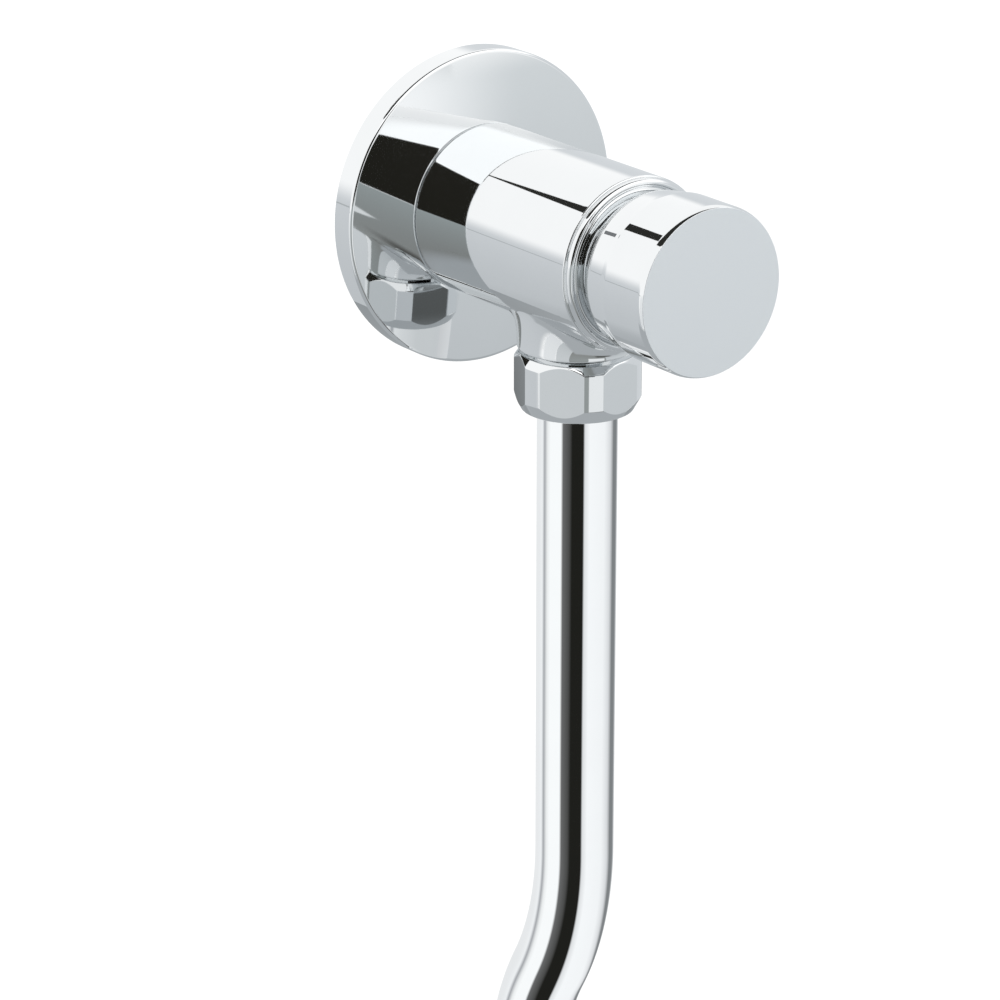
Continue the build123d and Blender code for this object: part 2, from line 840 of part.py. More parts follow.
save(push_button, "push_button")

# Springs, hidden inside the valve: open coils of round wire, drawn six-sided, each between its two
# seats. A row gives the name, the rear and front seat, the mean radius, the wire and the coils.
springs = (
    ("closing_spring", cup_inside, recess_front, closing_mean_radius, closing_wire, closing_coils),
    ("relief_spring", nose_inside, relief_disc_rear, relief_mean_radius, relief_wire, relief_coils),
    ("button_spring", web_front, carrier_rear, button_mean_radius, button_wire, button_coils),
)
for spring_name, seat_behind, seat_ahead, mean_radius, wire, coils in springs:
    coil_rear = seat_behind + wire / 2 + seal_gap
    coil_rise = seat_ahead - seat_behind - wire - 2 * seal_gap
    with BuildPart() as spring:
        with BuildLine() as winding:
            Helix(
                pitch=coil_rise / coils,
                height=coil_rise,
                radius=mean_radius,
                center=(0, -coil_rear, 0),
                direction=(0, -1, 0),
            )
        with BuildSketch(Plane(winding.line @ 0, x_dir=(0, 1, 0), z_dir=winding.line % 0)):
            RegularPolygon(wire / 2, 6)
        sweep(path=winding.line, is_frenet=True)
    save(spring, spring_name)

# Pipe interrupter: flanged insert in the spigot whose tube has air windows behind a rubber sleeve
insert_radius = spigot_bore_radius - screw_gap
insert_bore = insert_radius - interrupter_wall
insert_top = spigot_bore_top + seat_gap
with BuildPart() as pipe_interrupter:
    with BuildSketch(level(insert_top)):
        Circle(insert_radius)
    extrude(amount=interrupter_bottom - insert_top)
    with BuildSketch(level(spigot_bottom)):
        Circle(thread_radius - seat_gap)
    extrude(amount=interrupter_flange)
    with BuildSketch(level(insert_top)):
        Circle(insert_bore)
    extrude(amount=interrupter_bottom - insert_top, mode=Mode.SUBTRACT)
    with BuildSketch(level(boss_bottom)):
        with PolarLocations(insert_radius, interrupter_windows):
            Rectangle(4 * interrupter_wall, interrupter_window_width)
    extrude(amount=interrupter_window_length, mode=Mode.SUBTRACT)
save(pipe_interrupter, "pipe_interrupter")

sleeve_radius = insert_bore - seal_gap
sleeve_top = insert_top + seat_gap
with BuildPart() as interrupter_sleeve:
    with BuildSketch(level(sleeve_top)):
        Circle(sleeve_radius)
        Circle(sleeve_radius - sleeve_wall, mode=Mode.SUBTRACT)
    extrude(amount=sleeve_length)
save(interrupter_sleeve, "interrupter_sleeve")

# Flat washer, pipe collar and thrust ring, clamped by the nut's lip
with BuildPart() as outlet_washer:
    with BuildSketch(level(interrupter_bottom)):
        Circle(thread_radius - seat_gap)
        Circle(pipe_radius - pipe_wall, mode=Mode.SUBTRACT)
    extrude(amount=gasket_thickness)
save(outlet_washer, "outlet_washer")

with BuildPart() as thrust_ring:
    with BuildSketch(level(collar_bottom)):
        Circle(thread_radius - seat_gap)
        Circle(pipe_radius + screw_gap, mode=Mode.SUBTRACT)
    extrude(amount=thrust_thickness)
save(thrust_ring, "thrust_ring")

# Union nut: a hexagon with its corners turned round and coned at both ends
flat_radius = nut_across_flats / 2
with BuildPart() as union_nut:
    with BuildSketch(level(nut_top)):
        RegularPolygon(
            flat_radius, nut_sides, major_radius=False, rotation=-nut_turn - 180 / nut_sides
        )
    extrude(amount=nut_bottom - nut_top)
    with BuildSketch(outlet_side):
        with BuildLine():
            Polyline(
                (0, nut_top),
                (flat_radius - nut_top_inset, nut_top),
                (nut_corner_radius, nut_top + nut_top_cone),
                (nut_corner_radius, nut_bottom - nut_bottom_cone),
                (flat_radius - nut_bottom_inset, nut_bottom),
                (0, nut_bottom),
                close=True,
            )
        make_face()
    revolve(axis=outlet_axis, mode=Mode.INTERSECT)
    with BuildSketch(level(nut_top)):
        Circle(thread_radius + screw_gap)
    extrude(amount=thrust_bottom - nut_top, mode=Mode.SUBTRACT)
    with BuildSketch(level(thrust_bottom)):
        Circle(pipe_radius + 2 * screw_gap)
    extrude(amount=nut_lip, mode=Mode.SUBTRACT)
save(union_nut, "union_nut")

# Flush pipe: straight down from its collar, then an offset of two equal bends towards the wall
bend_drop = pipe_bend_radius * math.sin(math.radians(pipe_bend_angle))
bend_shift = pipe_bend_radius * (1 - math.cos(math.radians(pipe_bend_angle)))
with BuildPart() as flush_pipe:
    with BuildLine(Plane.YZ) as route:
        straight = Line((-wall_to_outlet, -pipe_top), (-wall_to_outlet, -pipe_bend_start))
        away = JernArc(straight @ 1, (0, -1), pipe_bend_radius, pipe_bend_angle)
        back = JernArc(away @ 1, away % 1, pipe_bend_radius, -pipe_bend_angle)
        Line(back @ 1, back @ 1 + Vector(0, 0, -pipe_end_length))
    with BuildSketch(level(pipe_top)):
        Circle(pipe_radius)
        Circle(pipe_radius - pipe_wall, mode=Mode.SUBTRACT)
    sweep(path=route.line)
    with BuildSketch(level(pipe_top)):
        Circle(thread_radius - 2 * screw_gap)
        Circle(pipe_radius - pipe_wall, mode=Mode.SUBTRACT)
    extrude(amount=collar_thickness)
save(flush_pipe, "flush_pipe")

pipe_end_depth = wall_to_outlet - 2 * bend_shift
pipe_end_drop = pipe_bend_start + 2 * bend_drop + pipe_end_length
print("wall to outlet axis", round(wall_to_outlet, 2), "wall to button face", round(wall_to_face, 2))
print("pipe end depth", round(pipe_end_depth, 3), "pipe end drop", round(pipe_end_drop, 3))
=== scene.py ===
import math

import bmesh
import bpy
from mathutils import Euler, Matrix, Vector


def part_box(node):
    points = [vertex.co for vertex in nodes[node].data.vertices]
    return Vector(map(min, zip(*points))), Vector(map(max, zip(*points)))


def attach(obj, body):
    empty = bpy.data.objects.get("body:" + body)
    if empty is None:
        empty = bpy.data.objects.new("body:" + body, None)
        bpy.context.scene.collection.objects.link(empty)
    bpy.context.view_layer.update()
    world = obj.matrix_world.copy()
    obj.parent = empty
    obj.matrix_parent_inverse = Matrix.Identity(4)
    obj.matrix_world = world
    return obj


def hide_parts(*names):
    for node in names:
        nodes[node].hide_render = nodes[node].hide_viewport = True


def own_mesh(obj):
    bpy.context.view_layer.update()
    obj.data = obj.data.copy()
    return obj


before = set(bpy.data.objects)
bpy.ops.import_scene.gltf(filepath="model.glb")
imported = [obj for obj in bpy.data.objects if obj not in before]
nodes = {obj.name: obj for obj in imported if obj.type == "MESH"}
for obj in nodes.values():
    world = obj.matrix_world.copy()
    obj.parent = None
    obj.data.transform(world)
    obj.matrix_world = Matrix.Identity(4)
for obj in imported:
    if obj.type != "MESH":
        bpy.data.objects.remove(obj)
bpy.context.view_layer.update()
scene = bpy.context.scene

# Camera: a long lens from the left and above, as the catalogue photograph was taken.
# Yaw is measured from +Y towards +X, pitch downwards.
camera_place = Vector((-0.51227, -0.71377, 0.24750))
camera_yaw, camera_pitch = 36.158, 19.979
camera_lens, camera_sensor = 145.026, 36.0

lens = bpy.data.cameras.new("camera")
lens.lens, lens.sensor_width = camera_lens, camera_sensor
lens.clip_start, lens.clip_end = 0.01, 50
camera = bpy.data.objects.new("camera", lens)
camera.location = camera_place
camera.rotation_euler = Euler((math.radians(90 - camera_pitch), 0, -math.radians(camera_yaw)))
scene.collection.objects.link(camera)
scene.camera = camera

# Studio: a white tent round the valve, with black and grey cards that give the chrome its dark
# bands. A card is placed by the direction that it is seen in from the valve, and only
# reflections show it.


def linear(hex_colour):
    """An sRGB hex colour, such as "d2d6d9", as linear RGBA."""
    channels = [int(hex_colour[i:i + 2], 16) / 255 for i in (0, 2, 4)]
    return (*(c / 12.92 if c <= 0.04045 else ((c + 0.055) / 1.055) ** 2.4 for c in channels), 1.0)


def add_node(tree, kind, inputs=None, links=None, **settings):
    """Adds a node, sets its settings and input values, and links outputs of others into it."""
    node = tree.nodes.new(kind)
    for name, value in settings.items():
        setattr(node, name, value)
    for name, value in (inputs or {}).items():
        node.inputs[name].default_value = value
    for name, output in (links or {}).items():
        tree.links.new(output, node.inputs[name])
    return node


weld_distance = 1e-6


def link_mesh(name, vertices, faces, smooth=True):
    """A new mesh object in the scene, its faces turned outwards."""
    mesh = bpy.data.meshes.new(name)
    mesh.from_pydata(vertices, [], faces)
    work = bmesh.new()
    work.from_mesh(mesh)
    bmesh.ops.remove_doubles(work, verts=work.verts, dist=weld_distance)
    bmesh.ops.recalc_face_normals(work, faces=work.faces)
    work.to_mesh(mesh)
    work.free()
    if smooth:
        mesh.shade_smooth()
    else:
        mesh.shade_flat()
    piece = bpy.data.objects.new(name, mesh)
    scene.collection.objects.link(piece)
    return piece


tent_strength = 1.13
tent = bpy.data.worlds.new("white_tent")
tent.use_nodes = True
tent.node_tree.nodes.clear()
glow = add_node(tent.node_tree, "ShaderNodeBackground",
                {"Color": linear("ffffff"), "Strength": tent_strength})
add_node(tent.node_tree, "ShaderNodeOutputWorld", links={"Surface": glow.outputs[0]})
scene.world = tent
scene.view_settings.view_transform = "Standard"

chrome_tint = "e9ebec"
mirror_once = 1 / linear(chrome_tint)[1]
mirror_twice = mirror_once**2
valve_centre = Vector((0.0, -0.042, 0.0))
cards = (
    # name, distance, azimuth, elevation, width and height in degrees, tones at its top
    # and bottom as the chrome shows them, strength that makes up for the mirrors, soft edge
    ("camera_flag", 2.4, -122.5, 16.5, 51.0, 41.0, "1f1e1a", "1f1e1a", mirror_twice, 0.03),
    ("camera_grey", 2.45, -105.0, -28.0, 98.0, 48.0, "8e9494", "71706e", mirror_twice, 0.02),
    ("upper_light", 2.6, -75.0, 50.0, 110.0, 56.0, "ffffff", "ffffff", mirror_twice, 0.3),
    ("front_light", 2.35, -65.0, -8.0, 30.0, 18.0, "f6f7f8", "f6f7f8", mirror_once, 0.9),
    ("front_low_light", 2.3, -91.5, -17.0, 31.0, 18.0, "e8eaeb", "e2e4e5", mirror_once, 0.1),
    ("front_grey", 2.6, -48.0, -30.0, 60.0, 54.0, "d2d6d8", "9ca0a4", mirror_once, 0.15),
    ("right_grey", 2.7, 8.0, -2.0, 116.0, 70.0, "d0d3d6", "c8cccf", mirror_once, 0.4),
    ("rear_right_grey", 2.6, 64.0, -40.0, 92.0, 50.0, "9ca0a3", "84888a", mirror_once, 0.2),
    ("rear_dark", 2.45, 72.0, -17.0, 24.0, 18.0, "5a5c5c", "4e5050", mirror_twice, 0.3),
    ("low_dark", 2.35, -75.0, -40.0, 36.0, 22.0, "4a4a48", "4a4a48", mirror_twice, 0.5),
    ("left_grey", 2.6, -156.0, -22.0, 25.0, 40.0, "cfd2d4", "b8bcbe", mirror_once, 0.1),
    ("left_pale", 2.6, 178.0, -22.0, 28.0, 40.0, "e6e8e9", "d8dadc", mirror_once, 0.3),
    ("rear_grey", 2.5, 122.0, -28.0, 80.0, 68.0, "cdd0d3", "b0b4b7", mirror_once, 0.35),
    ("rear_line", 2.3, 140.0, -5.0, 60.0, 0.7, "a9adaf", "a9adaf", mirror_once, 0.3),
    ("ground_grey", 1.1, -90.0, -89.9, 104.0, 104.0, "a4a8ab", "a4a8ab", mirror_once, 0.2),
)


def blank_paint(name):
    """A new material for light alone, with nothing in its tree yet."""
    paint = bpy.data.materials.new(name + "_paint")
    paint.use_nodes = True
    paint.node_tree.nodes.clear()
    return paint


def glow_where(tree, cover, light):
    """Ends a tree with a light that shows where it covers, and with nothing elsewhere."""
    clear = add_node(tree, "ShaderNodeBsdfTransparent")
    blend = add_node(tree, "ShaderNodeMixShader", links={"Fac": cover})
    tree.links.new(clear.outputs[0], blend.inputs[1])
    tree.links.new(light.outputs[0], blend.inputs[2])
    add_node(tree, "ShaderNodeOutputMaterial", links={"Surface": blend.outputs[0]})


def card_paint(name, tone_top, tone_bottom, strength, soft):
    """Light of a card: a tone that runs from its top to its bottom, with edges that fade out."""
    paint = blank_paint(name)
    tree = paint.node_tree
    place = add_node(tree, "ShaderNodeTexCoord")
    split = add_node(tree, "ShaderNodeSeparateXYZ", links={"Vector": place.outputs["Object"]})
    height = add_node(tree, "ShaderNodeMapRange", {"From Min": -1.0, "From Max": 1.0},
                      {"Value": split.outputs["Y"]})
    tone = add_node(tree, "ShaderNodeMix", {"A": linear(tone_bottom), "B": linear(tone_top)},
                    {"Factor": height.outputs["Result"]}, data_type="RGBA")
    fades = []
    for way in ("X", "Y"):
        size = add_node(tree, "ShaderNodeMath", links={"Value": split.outputs[way]}, operation="ABSOLUTE")
        fades.append(add_node(tree, "ShaderNodeMapRange", {"From Min": 1.0, "From Max": 1.0 - soft},
                              {"Value": size.outputs[0]}, interpolation_type="SMOOTHSTEP"))
    cover = add_node(tree, "ShaderNodeMath", operation="MULTIPLY")
    tree.links.new(fades[0].outputs["Result"], cover.inputs[0])
    tree.links.new(fades[1].outputs["Result"], cover.inputs[1])
    lit = add_node(tree, "ShaderNodeEmission", {"Strength": strength}, {"Color": tone.outputs["Result"]})
    glow_where(tree, cover.outputs[0], lit)
    return paint


def stand_card(card, paint):
    """Makes a card one that only reflections show."""
    card.data.materials.append(paint)
    card.visible_camera = card.visible_shadow = card.visible_diffuse = False


def heading(azimuth, elevation):
    """The direction at an azimuth and elevation in degrees."""
    turn, rise = math.radians(azimuth), math.radians(elevation)
    return Vector((math.cos(turn) * math.cos(rise), math.sin(turn) * math.cos(rise), math.sin(rise)))


square = ((-1, -1), (1, -1), (1, 1), (-1, 1))
for name, distance, azimuth, elevation, width, height, top, bottom, strength, soft in cards:
    towards = heading(azimuth, elevation)
    card = link_mesh(name, [(x, y, 0) for x, y in square], [(0, 1, 2, 3)])
    card.rotation_euler = towards.to_track_quat("Z", "Y").to_euler()
    card.location = valve_centre + towards * distance
    half_width, half_height = math.radians(width / 2), math.radians(height / 2)
    card.scale = (distance * math.tan(half_width), distance * math.tan(half_height), 1)
    stand_card(card, card_paint(name, top, bottom, strength, soft))

# A dark strip hangs above the valve, to its left and behind it. It narrows to a tip at the back, so
# its mirror image along the body is a thin wedge.
strip_across = Vector((0.87, 0.0, 0.49))
strip_tip, strip_root = Vector((-0.0873, 0.228, 0.1974)), Vector((-0.0825, 0.128, 0.2006))
waist_share = 0.65
strip_waist = strip_tip.lerp(strip_root, waist_share)
waist_half_width, root_half_width = 0.020, 0.017
strip = link_mesh("top_strip", [
    strip_tip, strip_waist + strip_across * waist_half_width, strip_root + strip_across * root_half_width,
    strip_root - strip_across * root_half_width, strip_waist - strip_across * waist_half_width,
], [(0, 1, 2, 3, 4)])
stand_card(strip, card_paint("top_strip", "2a2a28", "2a2a28", mirror_once, soft=0.001))

# A dark boom arches from the strip over the top of the valve, placed by where the button's rounded
# edge mirrors it. Each stop gives, for the boom's two sides, the turn round the button from its top
# towards the left, and the lean of the edge to the front, in degrees.
boom_distance = 2.2
boom_stops = (
    (45, 4, 48, 4), (41, 9, 48, 14), (32, 15, 48, 24), (23, 20, 46, 35),
    (15, 24, 36, 36), (7, 27, 24, 36), (0, 30, 12, 36), (-6, 32, 0, 36),
)
button_low, button_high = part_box("push_button")


def mirrored(turn, lean):
    """Where the camera looks by way of the button, at a turn and a lean of its surface in degrees."""
    round_axis, forward = math.radians(turn), math.radians(lean)
    outward = Vector((-math.sin(round_axis), 0, math.cos(round_axis)))
    spot = outward * button_high.x + Vector((0, button_low.y, 0))
    normal = outward * math.cos(forward) - Vector((0, math.sin(forward), 0))
    return spot + (spot - camera_place).normalized().reflect(normal) * boom_distance


boom_points = [mirrored(*side) for stop in boom_stops for side in (stop[:2], stop[2:])]
boom_faces = [(2 * i, 2 * i + 1, 2 * i + 3, 2 * i + 2) for i in range(len(boom_stops) - 1)]
boom = link_mesh("boom", boom_points, boom_faces)

# Its short grey tail, behind the strip, shows on the drawn-in part of the button's skirt. Each corner
# is a turn and a lean too.
tail_corners = ((50, -6.0), (50, -8.2), (52.5, -8.2), (52.5, -6.0))
tail = link_mesh("boom_tail", [mirrored(*side) for side in tail_corners], [(0, 1, 2, 3)])
for arm, tone in ((boom, "2a2a28"), (tail, "747678")):
    arm_paint = blank_paint(arm.name)
    arm_lit = add_node(arm_paint.node_tree, "ShaderNodeEmission",
                       {"Color": linear(tone), "Strength": mirror_once})
    add_node(arm_paint.node_tree, "ShaderNodeOutputMaterial", links={"Surface": arm_lit.outputs[0]})
    stand_card(arm, arm_paint)

# Floor: a wide sheet of matt studio paper, nearly white. It lies so far below the valve that all the
# cards stand above it.
floor_height, floor_half = -3.2, 9.0
floor_corners = [(floor_half * x, floor_half * y, floor_height) for x, y in square]
floor = link_mesh("floor", floor_corners, [(0, 1, 2, 3)])
floor_paint = bpy.data.materials.new("floor_paint")
floor_paint.use_nodes = True
floor_shader = floor_paint.node_tree.nodes["Principled BSDF"]
floor_shader.inputs["Base Color"].default_value = linear("f8f8f8")
floor_shader.inputs["Roughness"].default_value = 0.9
floor.data.materials.append(floor_paint)

# Wall rosette: pressed brass cover, chrome plated and polished, pushed against the wall by the
# body. Its face is a shallow dome, flat only under the body.
mm = 0.001
rosette_low, rosette_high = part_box("wall_rosette")
rosette_radius = rosette_high.x
rosette_height = -rosette_low.y
rosette_rim = 6.2 * mm
rosette_sheet = 1.0 * mm
rosette_hole = 11.08 * mm
body_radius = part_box("valve_body")[1].x
lathe_steps = 256
on_axis = 1e-7
most_of_side = 0.49


def corner(before, at, after, radius, steps=6):
    """Points of an arc that rounds the corner at a point of a profile, if need be with a smaller
    radius, so that two arcs fit on a side."""
    a, b, c = Vector(before), Vector(at), Vector(after)
    away_a, away_c = (a - b).normalized(), (c - b).normalized()
    half = away_a.angle(away_c) / 2
    reach = min(radius / math.tan(half), most_of_side * (a - b).length, most_of_side * (c - b).length)
    radius = reach * math.tan(half)
    centre = b + (away_a + away_c).normalized() * (radius / math.sin(half))
    start, end = b + away_a * reach - centre, b + away_c * reach - centre
    full = start.angle(end)
    arc = []
    for i in range(steps + 1):
        t = i / steps
        spread = (math.sin((1 - t) * full) * start + math.sin(t * full) * end) / math.sin(full)
        arc.append(tuple(centre + spread))
    return arc


def lathe(name, profile, rounding, axis_point=(0, 0, 0), along=(0, -1, 0)):
    """Turns a closed profile of (radius, distance along the axis) points. Rounding holds the radii of
    its corners, by their place in the profile, or one radius for all."""
    points, count = [], len(profile)
    for i, at in enumerate(profile):
        edge = rounding.get(i, rounding.get("all", 0))
        if edge and at[0] > on_axis:
            points += corner(profile[i - 1], at, profile[(i + 1) % count], edge)
        else:
            points.append(at)
    axis, origin = Vector(along), Vector(axis_point)
    right = Vector((1, 0, 0))
    up = axis.cross(right)
    vertices, rings = [], []
    for radius, reach in points:
        ring = []
        sides = 1 if radius < on_axis else lathe_steps
        for k in range(sides):
            turn = math.tau * k / lathe_steps
            ring.append(len(vertices))
            vertices.append(origin + axis * reach + (right * math.cos(turn) + up * math.sin(turn)) * radius)
        rings.append(ring)
    faces = []
    for one, two in zip(rings, rings[1:] + rings[:1]):
        if len(one) == len(two) == 1:
            continue
        for k in range(lathe_steps):
            n = (k + 1) % lathe_steps
            quad = [one[k % len(one)], one[n % len(one)], two[n % len(two)], two[k % len(two)]]
            faces.append(tuple(dict.fromkeys(quad)))
    return link_mesh(name, vertices, faces)


def settle(piece, body, slot, material, *stands_for):
    """Weights the normals by face, gives the finish and puts the piece on its CAD body."""
    weighted = piece.modifiers.new("weighted", "WEIGHTED_NORMAL")
    weighted.keep_sharp = True
    weighted.weight = 100
    piece.data.materials.append(material)
    if stands_for:
        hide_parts(*stands_for)
    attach(piece, body)


def new_finish(name, metallic):
    """A new material, its tree, its shader, and the place on the piece that its patterns read."""
    material = bpy.data.materials.new(name)
    material.use_nodes = True
    tree = material.node_tree
    shader = tree.nodes["Principled BSDF"]
    shader.inputs["Metallic"].default_value = metallic
    return material, tree, shader, add_node(tree, "ShaderNodeTexCoord").outputs["Object"]


def drift(tree, shader, place, tones, gloss, cloud_size, detail, patchy=0.5):
    """Lets the tone and the gloss of a finish drift between two values, in clouds of a size."""
    clouds = add_node(tree, "ShaderNodeTexNoise",
                      {"Scale": 1 / cloud_size, "Detail": detail, "Roughness": patchy}, {"Vector": place})
    tint = add_node(tree, "ShaderNodeMix", {"A": tones[0], "B": tones[1]},
                    {"Factor": clouds.outputs["Fac"]}, data_type="RGBA")
    sheen = add_node(tree, "ShaderNodeMapRange", {"To Min": gloss[0], "To Max": gloss[1]},
                     {"Value": clouds.outputs["Fac"]})
    tree.links.new(tint.outputs["Result"], shader.inputs["Base Color"])
    tree.links.new(sheen.outputs["Result"], shader.inputs["Roughness"])


# Chrome plate over polished brass: a mirror with the last trace of the buffing wheel, seen as faint
# clouds in its gloss and as a very slight waviness of what it mirrors.
chrome, chrome_tree, chrome_shader, chrome_place = new_finish("chrome_plate_polished", 1.0)
chrome_clouds, chrome_waves, chrome_wave_height = 9 * mm, 14.0 * mm, 0.002 * mm
chrome_bright = linear(chrome_tint)
chrome_dull = tuple(c * 0.97 for c in chrome_bright[:3]) + (1.0,)
drift(chrome_tree, chrome_shader, chrome_place, (chrome_bright, chrome_dull), gloss=(0.024, 0.0375),
      cloud_size=chrome_clouds, detail=4.0, patchy=0.6)
waves = add_node(chrome_tree, "ShaderNodeTexNoise", {"Scale": 1 / chrome_waves, "Detail": 1.0},
                 {"Vector": chrome_place})
chrome_relief = add_node(chrome_tree, "ShaderNodeBump", {"Strength": 1.0, "Distance": chrome_wave_height},
                         {"Height": waves.outputs["Fac"]})
chrome_tree.links.new(chrome_relief.outputs["Normal"], chrome_shader.inputs["Normal"])

rosette_seat = body_radius + 0.1 * mm
rosette_edge = 0.8 * mm
dome_steps = 24
dome_start = rosette_radius - rosette_edge
dome_fall = (rosette_height - rosette_rim) / (dome_start**2 - rosette_seat**2)


def dome_depth(radius):
    """Depth of the rosette's face at a radius: a shallow sphere about the valve's axis."""
    return rosette_height - dome_fall * (radius**2 - rosette_seat**2)


dome = [dome_start + (rosette_seat - dome_start) * i / dome_steps for i in range(dome_steps + 1)]
edge_steps = 8
quarter_turn = [math.radians(90 * i / edge_steps) for i in range(edge_steps + 1)]
rim_corner = [
    (dome_start + rosette_edge * math.cos(t), rosette_rim - rosette_edge + rosette_edge * math.sin(t))
    for t in quarter_turn
]
rosette_profile = [
    (rosette_radius - rosette_sheet, 0),
    (rosette_radius, 0),
    *rim_corner[:-1],
    *[(r, dome_depth(r)) for r in dome],
    (rosette_hole, rosette_height),
    (rosette_hole, rosette_height - rosette_sheet),
    (rosette_seat, rosette_height - rosette_sheet),
    *[(r, dome_depth(r) - rosette_sheet) for r in reversed(dome) if r < rosette_radius - 2 * rosette_sheet],
    (rosette_radius - rosette_sheet, rosette_rim - 2 * rosette_edge),
]
rosette = lathe("wall_rosette_shell", rosette_profile, {0: 0.15 * mm, 1: 0.2 * mm})
settle(rosette, "valve", "chrome", chrome, "wall_rosette")

# Inlet nipple, its O-ring and strainer: a turned brass nipple, left unplated, whose thread screws
# into the wall fitting. A rubber O-ring seals it in the body's mouth and a slotted cup of stainless
# sheet, pushed into its bore, holds grit back.
film_size, mark_height = 4 * mm, 0.01 * mm
# The period in metres of a wave node whose scale is 1.
wave_period = 0.314


def turned_metal(name, bright, dull, gloss, mark_size):
    """Bare metal as the tool left it: rings of marks along the valve's axis, drawn as coarse as they
    need to show, under a patchy film of handling and storage."""
    material, tree, shader, place = new_finish(name, 1.0)
    drift(tree, shader, place, (linear(bright), linear(dull)), gloss, film_size, detail=5.0, patchy=0.65)
    marks = add_node(tree, "ShaderNodeTexWave",
                     {"Scale": wave_period / mark_size, "Distortion": 0.6, "Detail": 2.0},
                     {"Vector": place}, bands_direction="Y")
    relief = add_node(tree, "ShaderNodeBump", {"Strength": 0.5, "Distance": mark_height},
                      {"Height": marks.outputs["Fac"]})
    tree.links.new(relief.outputs["Normal"], shader.inputs["Normal"])
    return material


def dress(name, material):
    """Gives a piece of the CAD its finish."""
    nodes[name].data.materials.clear()
    nodes[name].data.materials.append(material)


def bake(piece):
    """Makes the result of a piece's modifiers its mesh, with its faces turned outwards."""
    evaluated = piece.evaluated_get(bpy.context.evaluated_depsgraph_get())
    mesh = bpy.data.meshes.new_from_object(evaluated)
    piece.modifiers.clear()
    piece.data = mesh
    work = bmesh.new()
    work.from_mesh(mesh)
    bmesh.ops.recalc_face_normals(work, faces=work.faces)
    work.to_mesh(mesh)
    work.free()


def cut_out(piece, *cutters):
    """Cuts other shapes out of a piece, and clears them away."""
    for cutter in cutters:
        cut = piece.modifiers.new("cut", "BOOLEAN")
        cut.operation, cut.object, cut.solver = "DIFFERENCE", cutter, "EXACT"
        bake(piece)
        bpy.data.objects.remove(cutter)
    piece.data.materials.clear()


def follow(piece, rule, given):
    """Puts a node rule on a piece, with values for its named inputs."""
    shape = piece.modifiers.new(rule.name, "NODES")
    shape.node_group = rule
    for socket in rule.interface.items_tree:
        if socket.in_out == "INPUT" and socket.name in given:
            shape[socket.identifier] = given[socket.name]


# Free-cutting brass, left as it came off the lathe: a warm yellow under a thin brown film. Drawn
# stainless steel, for wire and sheet: a cold grey, smoother and a little glossier.
raw_brass = turned_metal("brass_turned", "d9b264", "b48a45", (0.21, 0.42), 0.12 * mm)
stainless = turned_metal("stainless_drawn", "c9cbcc", "a9abab", (0.196, 0.392), 0.08 * mm)


def moulded(name, tones, gloss, cloud_size, cloud_detail, skin_size, skin_height, skin_strength):
    """A moulded material: its tone and gloss drift a little, and it has the fine skin of the mould."""
    material, tree, shader, place = new_finish(name, 0.0)
    drift(tree, shader, place, [linear(tone) for tone in tones], gloss, cloud_size, cloud_detail)
    skin = add_node(tree, "ShaderNodeTexNoise", {"Scale": 1 / skin_size, "Detail": 2.0}, {"Vector": place})
    relief = add_node(tree, "ShaderNodeBump", {"Strength": skin_strength, "Distance": skin_height},
                      {"Height": skin.outputs["Fac"]})
    tree.links.new(relief.outputs["Normal"], shader.inputs["Normal"])
    return material


# Moulded black rubber: matt, with the fine texture of the mould and a light bloom.
rubber = moulded("rubber_moulded", ("1c1c1d", "2c2c2d"), gloss=(0.5, 0.68), cloud_size=3 * mm,
                 cloud_detail=4.0, skin_size=0.2 * mm, skin_height=0.02 * mm, skin_strength=0.4)


def start_rule(name, sizes):
    """A new node rule that takes and gives a shape, with named inputs for its sizes."""
    rule = bpy.data.node_groups.new(name, "GeometryNodeTree")
    for label, kind in (("Geometry", "Geometry"), *sizes, ("Finish", "Material")):
        rule.interface.new_socket(label, in_out="INPUT", socket_type="NodeSocket" + kind)
    rule.interface.new_socket("Geometry", in_out="OUTPUT", socket_type="NodeSocketGeometry")
    return rule, add_node(rule, "NodeGroupInput")


def end_rule(rule, given, skin):
    """Makes the skin that a rule has drawn real and gives it the finish."""
    real = add_node(rule, "GeometryNodeRealizeInstances", links={"Geometry": skin})
    paint = add_node(rule, "GeometryNodeSetMaterial", links={
        "Geometry": real.outputs["Geometry"], "Material": given.outputs["Finish"]})
    add_node(rule, "NodeGroupOutput", links={"Geometry": paint.outputs["Geometry"]})


# A coil is a spiral with a round or, for a thread, a four-sided section.
coil_rule, coil_given = start_rule("coil", (
    ("Turns", "Float"), ("Mean Radius", "Float"), ("Rise", "Float"), ("Start", "Vector"),
    ("Wire Radius", "Float"), ("Wire Sides", "Int")))
coil_line = add_node(coil_rule, "GeometryNodeCurveSpiral", {"Resolution": 64}, {
    "Rotations": coil_given.outputs["Turns"], "Start Radius": coil_given.outputs["Mean Radius"],
    "End Radius": coil_given.outputs["Mean Radius"], "Height": coil_given.outputs["Rise"]})
coil_upright = add_node(coil_rule, "GeometryNodeSetCurveNormal", {}, {"Curve": coil_line.outputs["Curve"]})
coil_upright.mode = "Z_UP"
coil_ring = add_node(coil_rule, "GeometryNodeCurvePrimitiveCircle", {}, {
    "Radius": coil_given.outputs["Wire Radius"], "Resolution": coil_given.outputs["Wire Sides"]})
coil_skin = add_node(coil_rule, "GeometryNodeCurveToMesh", {"Fill Caps": True}, {
    "Curve": coil_upright.outputs["Curve"], "Profile Curve": coil_ring.outputs["Curve"]})
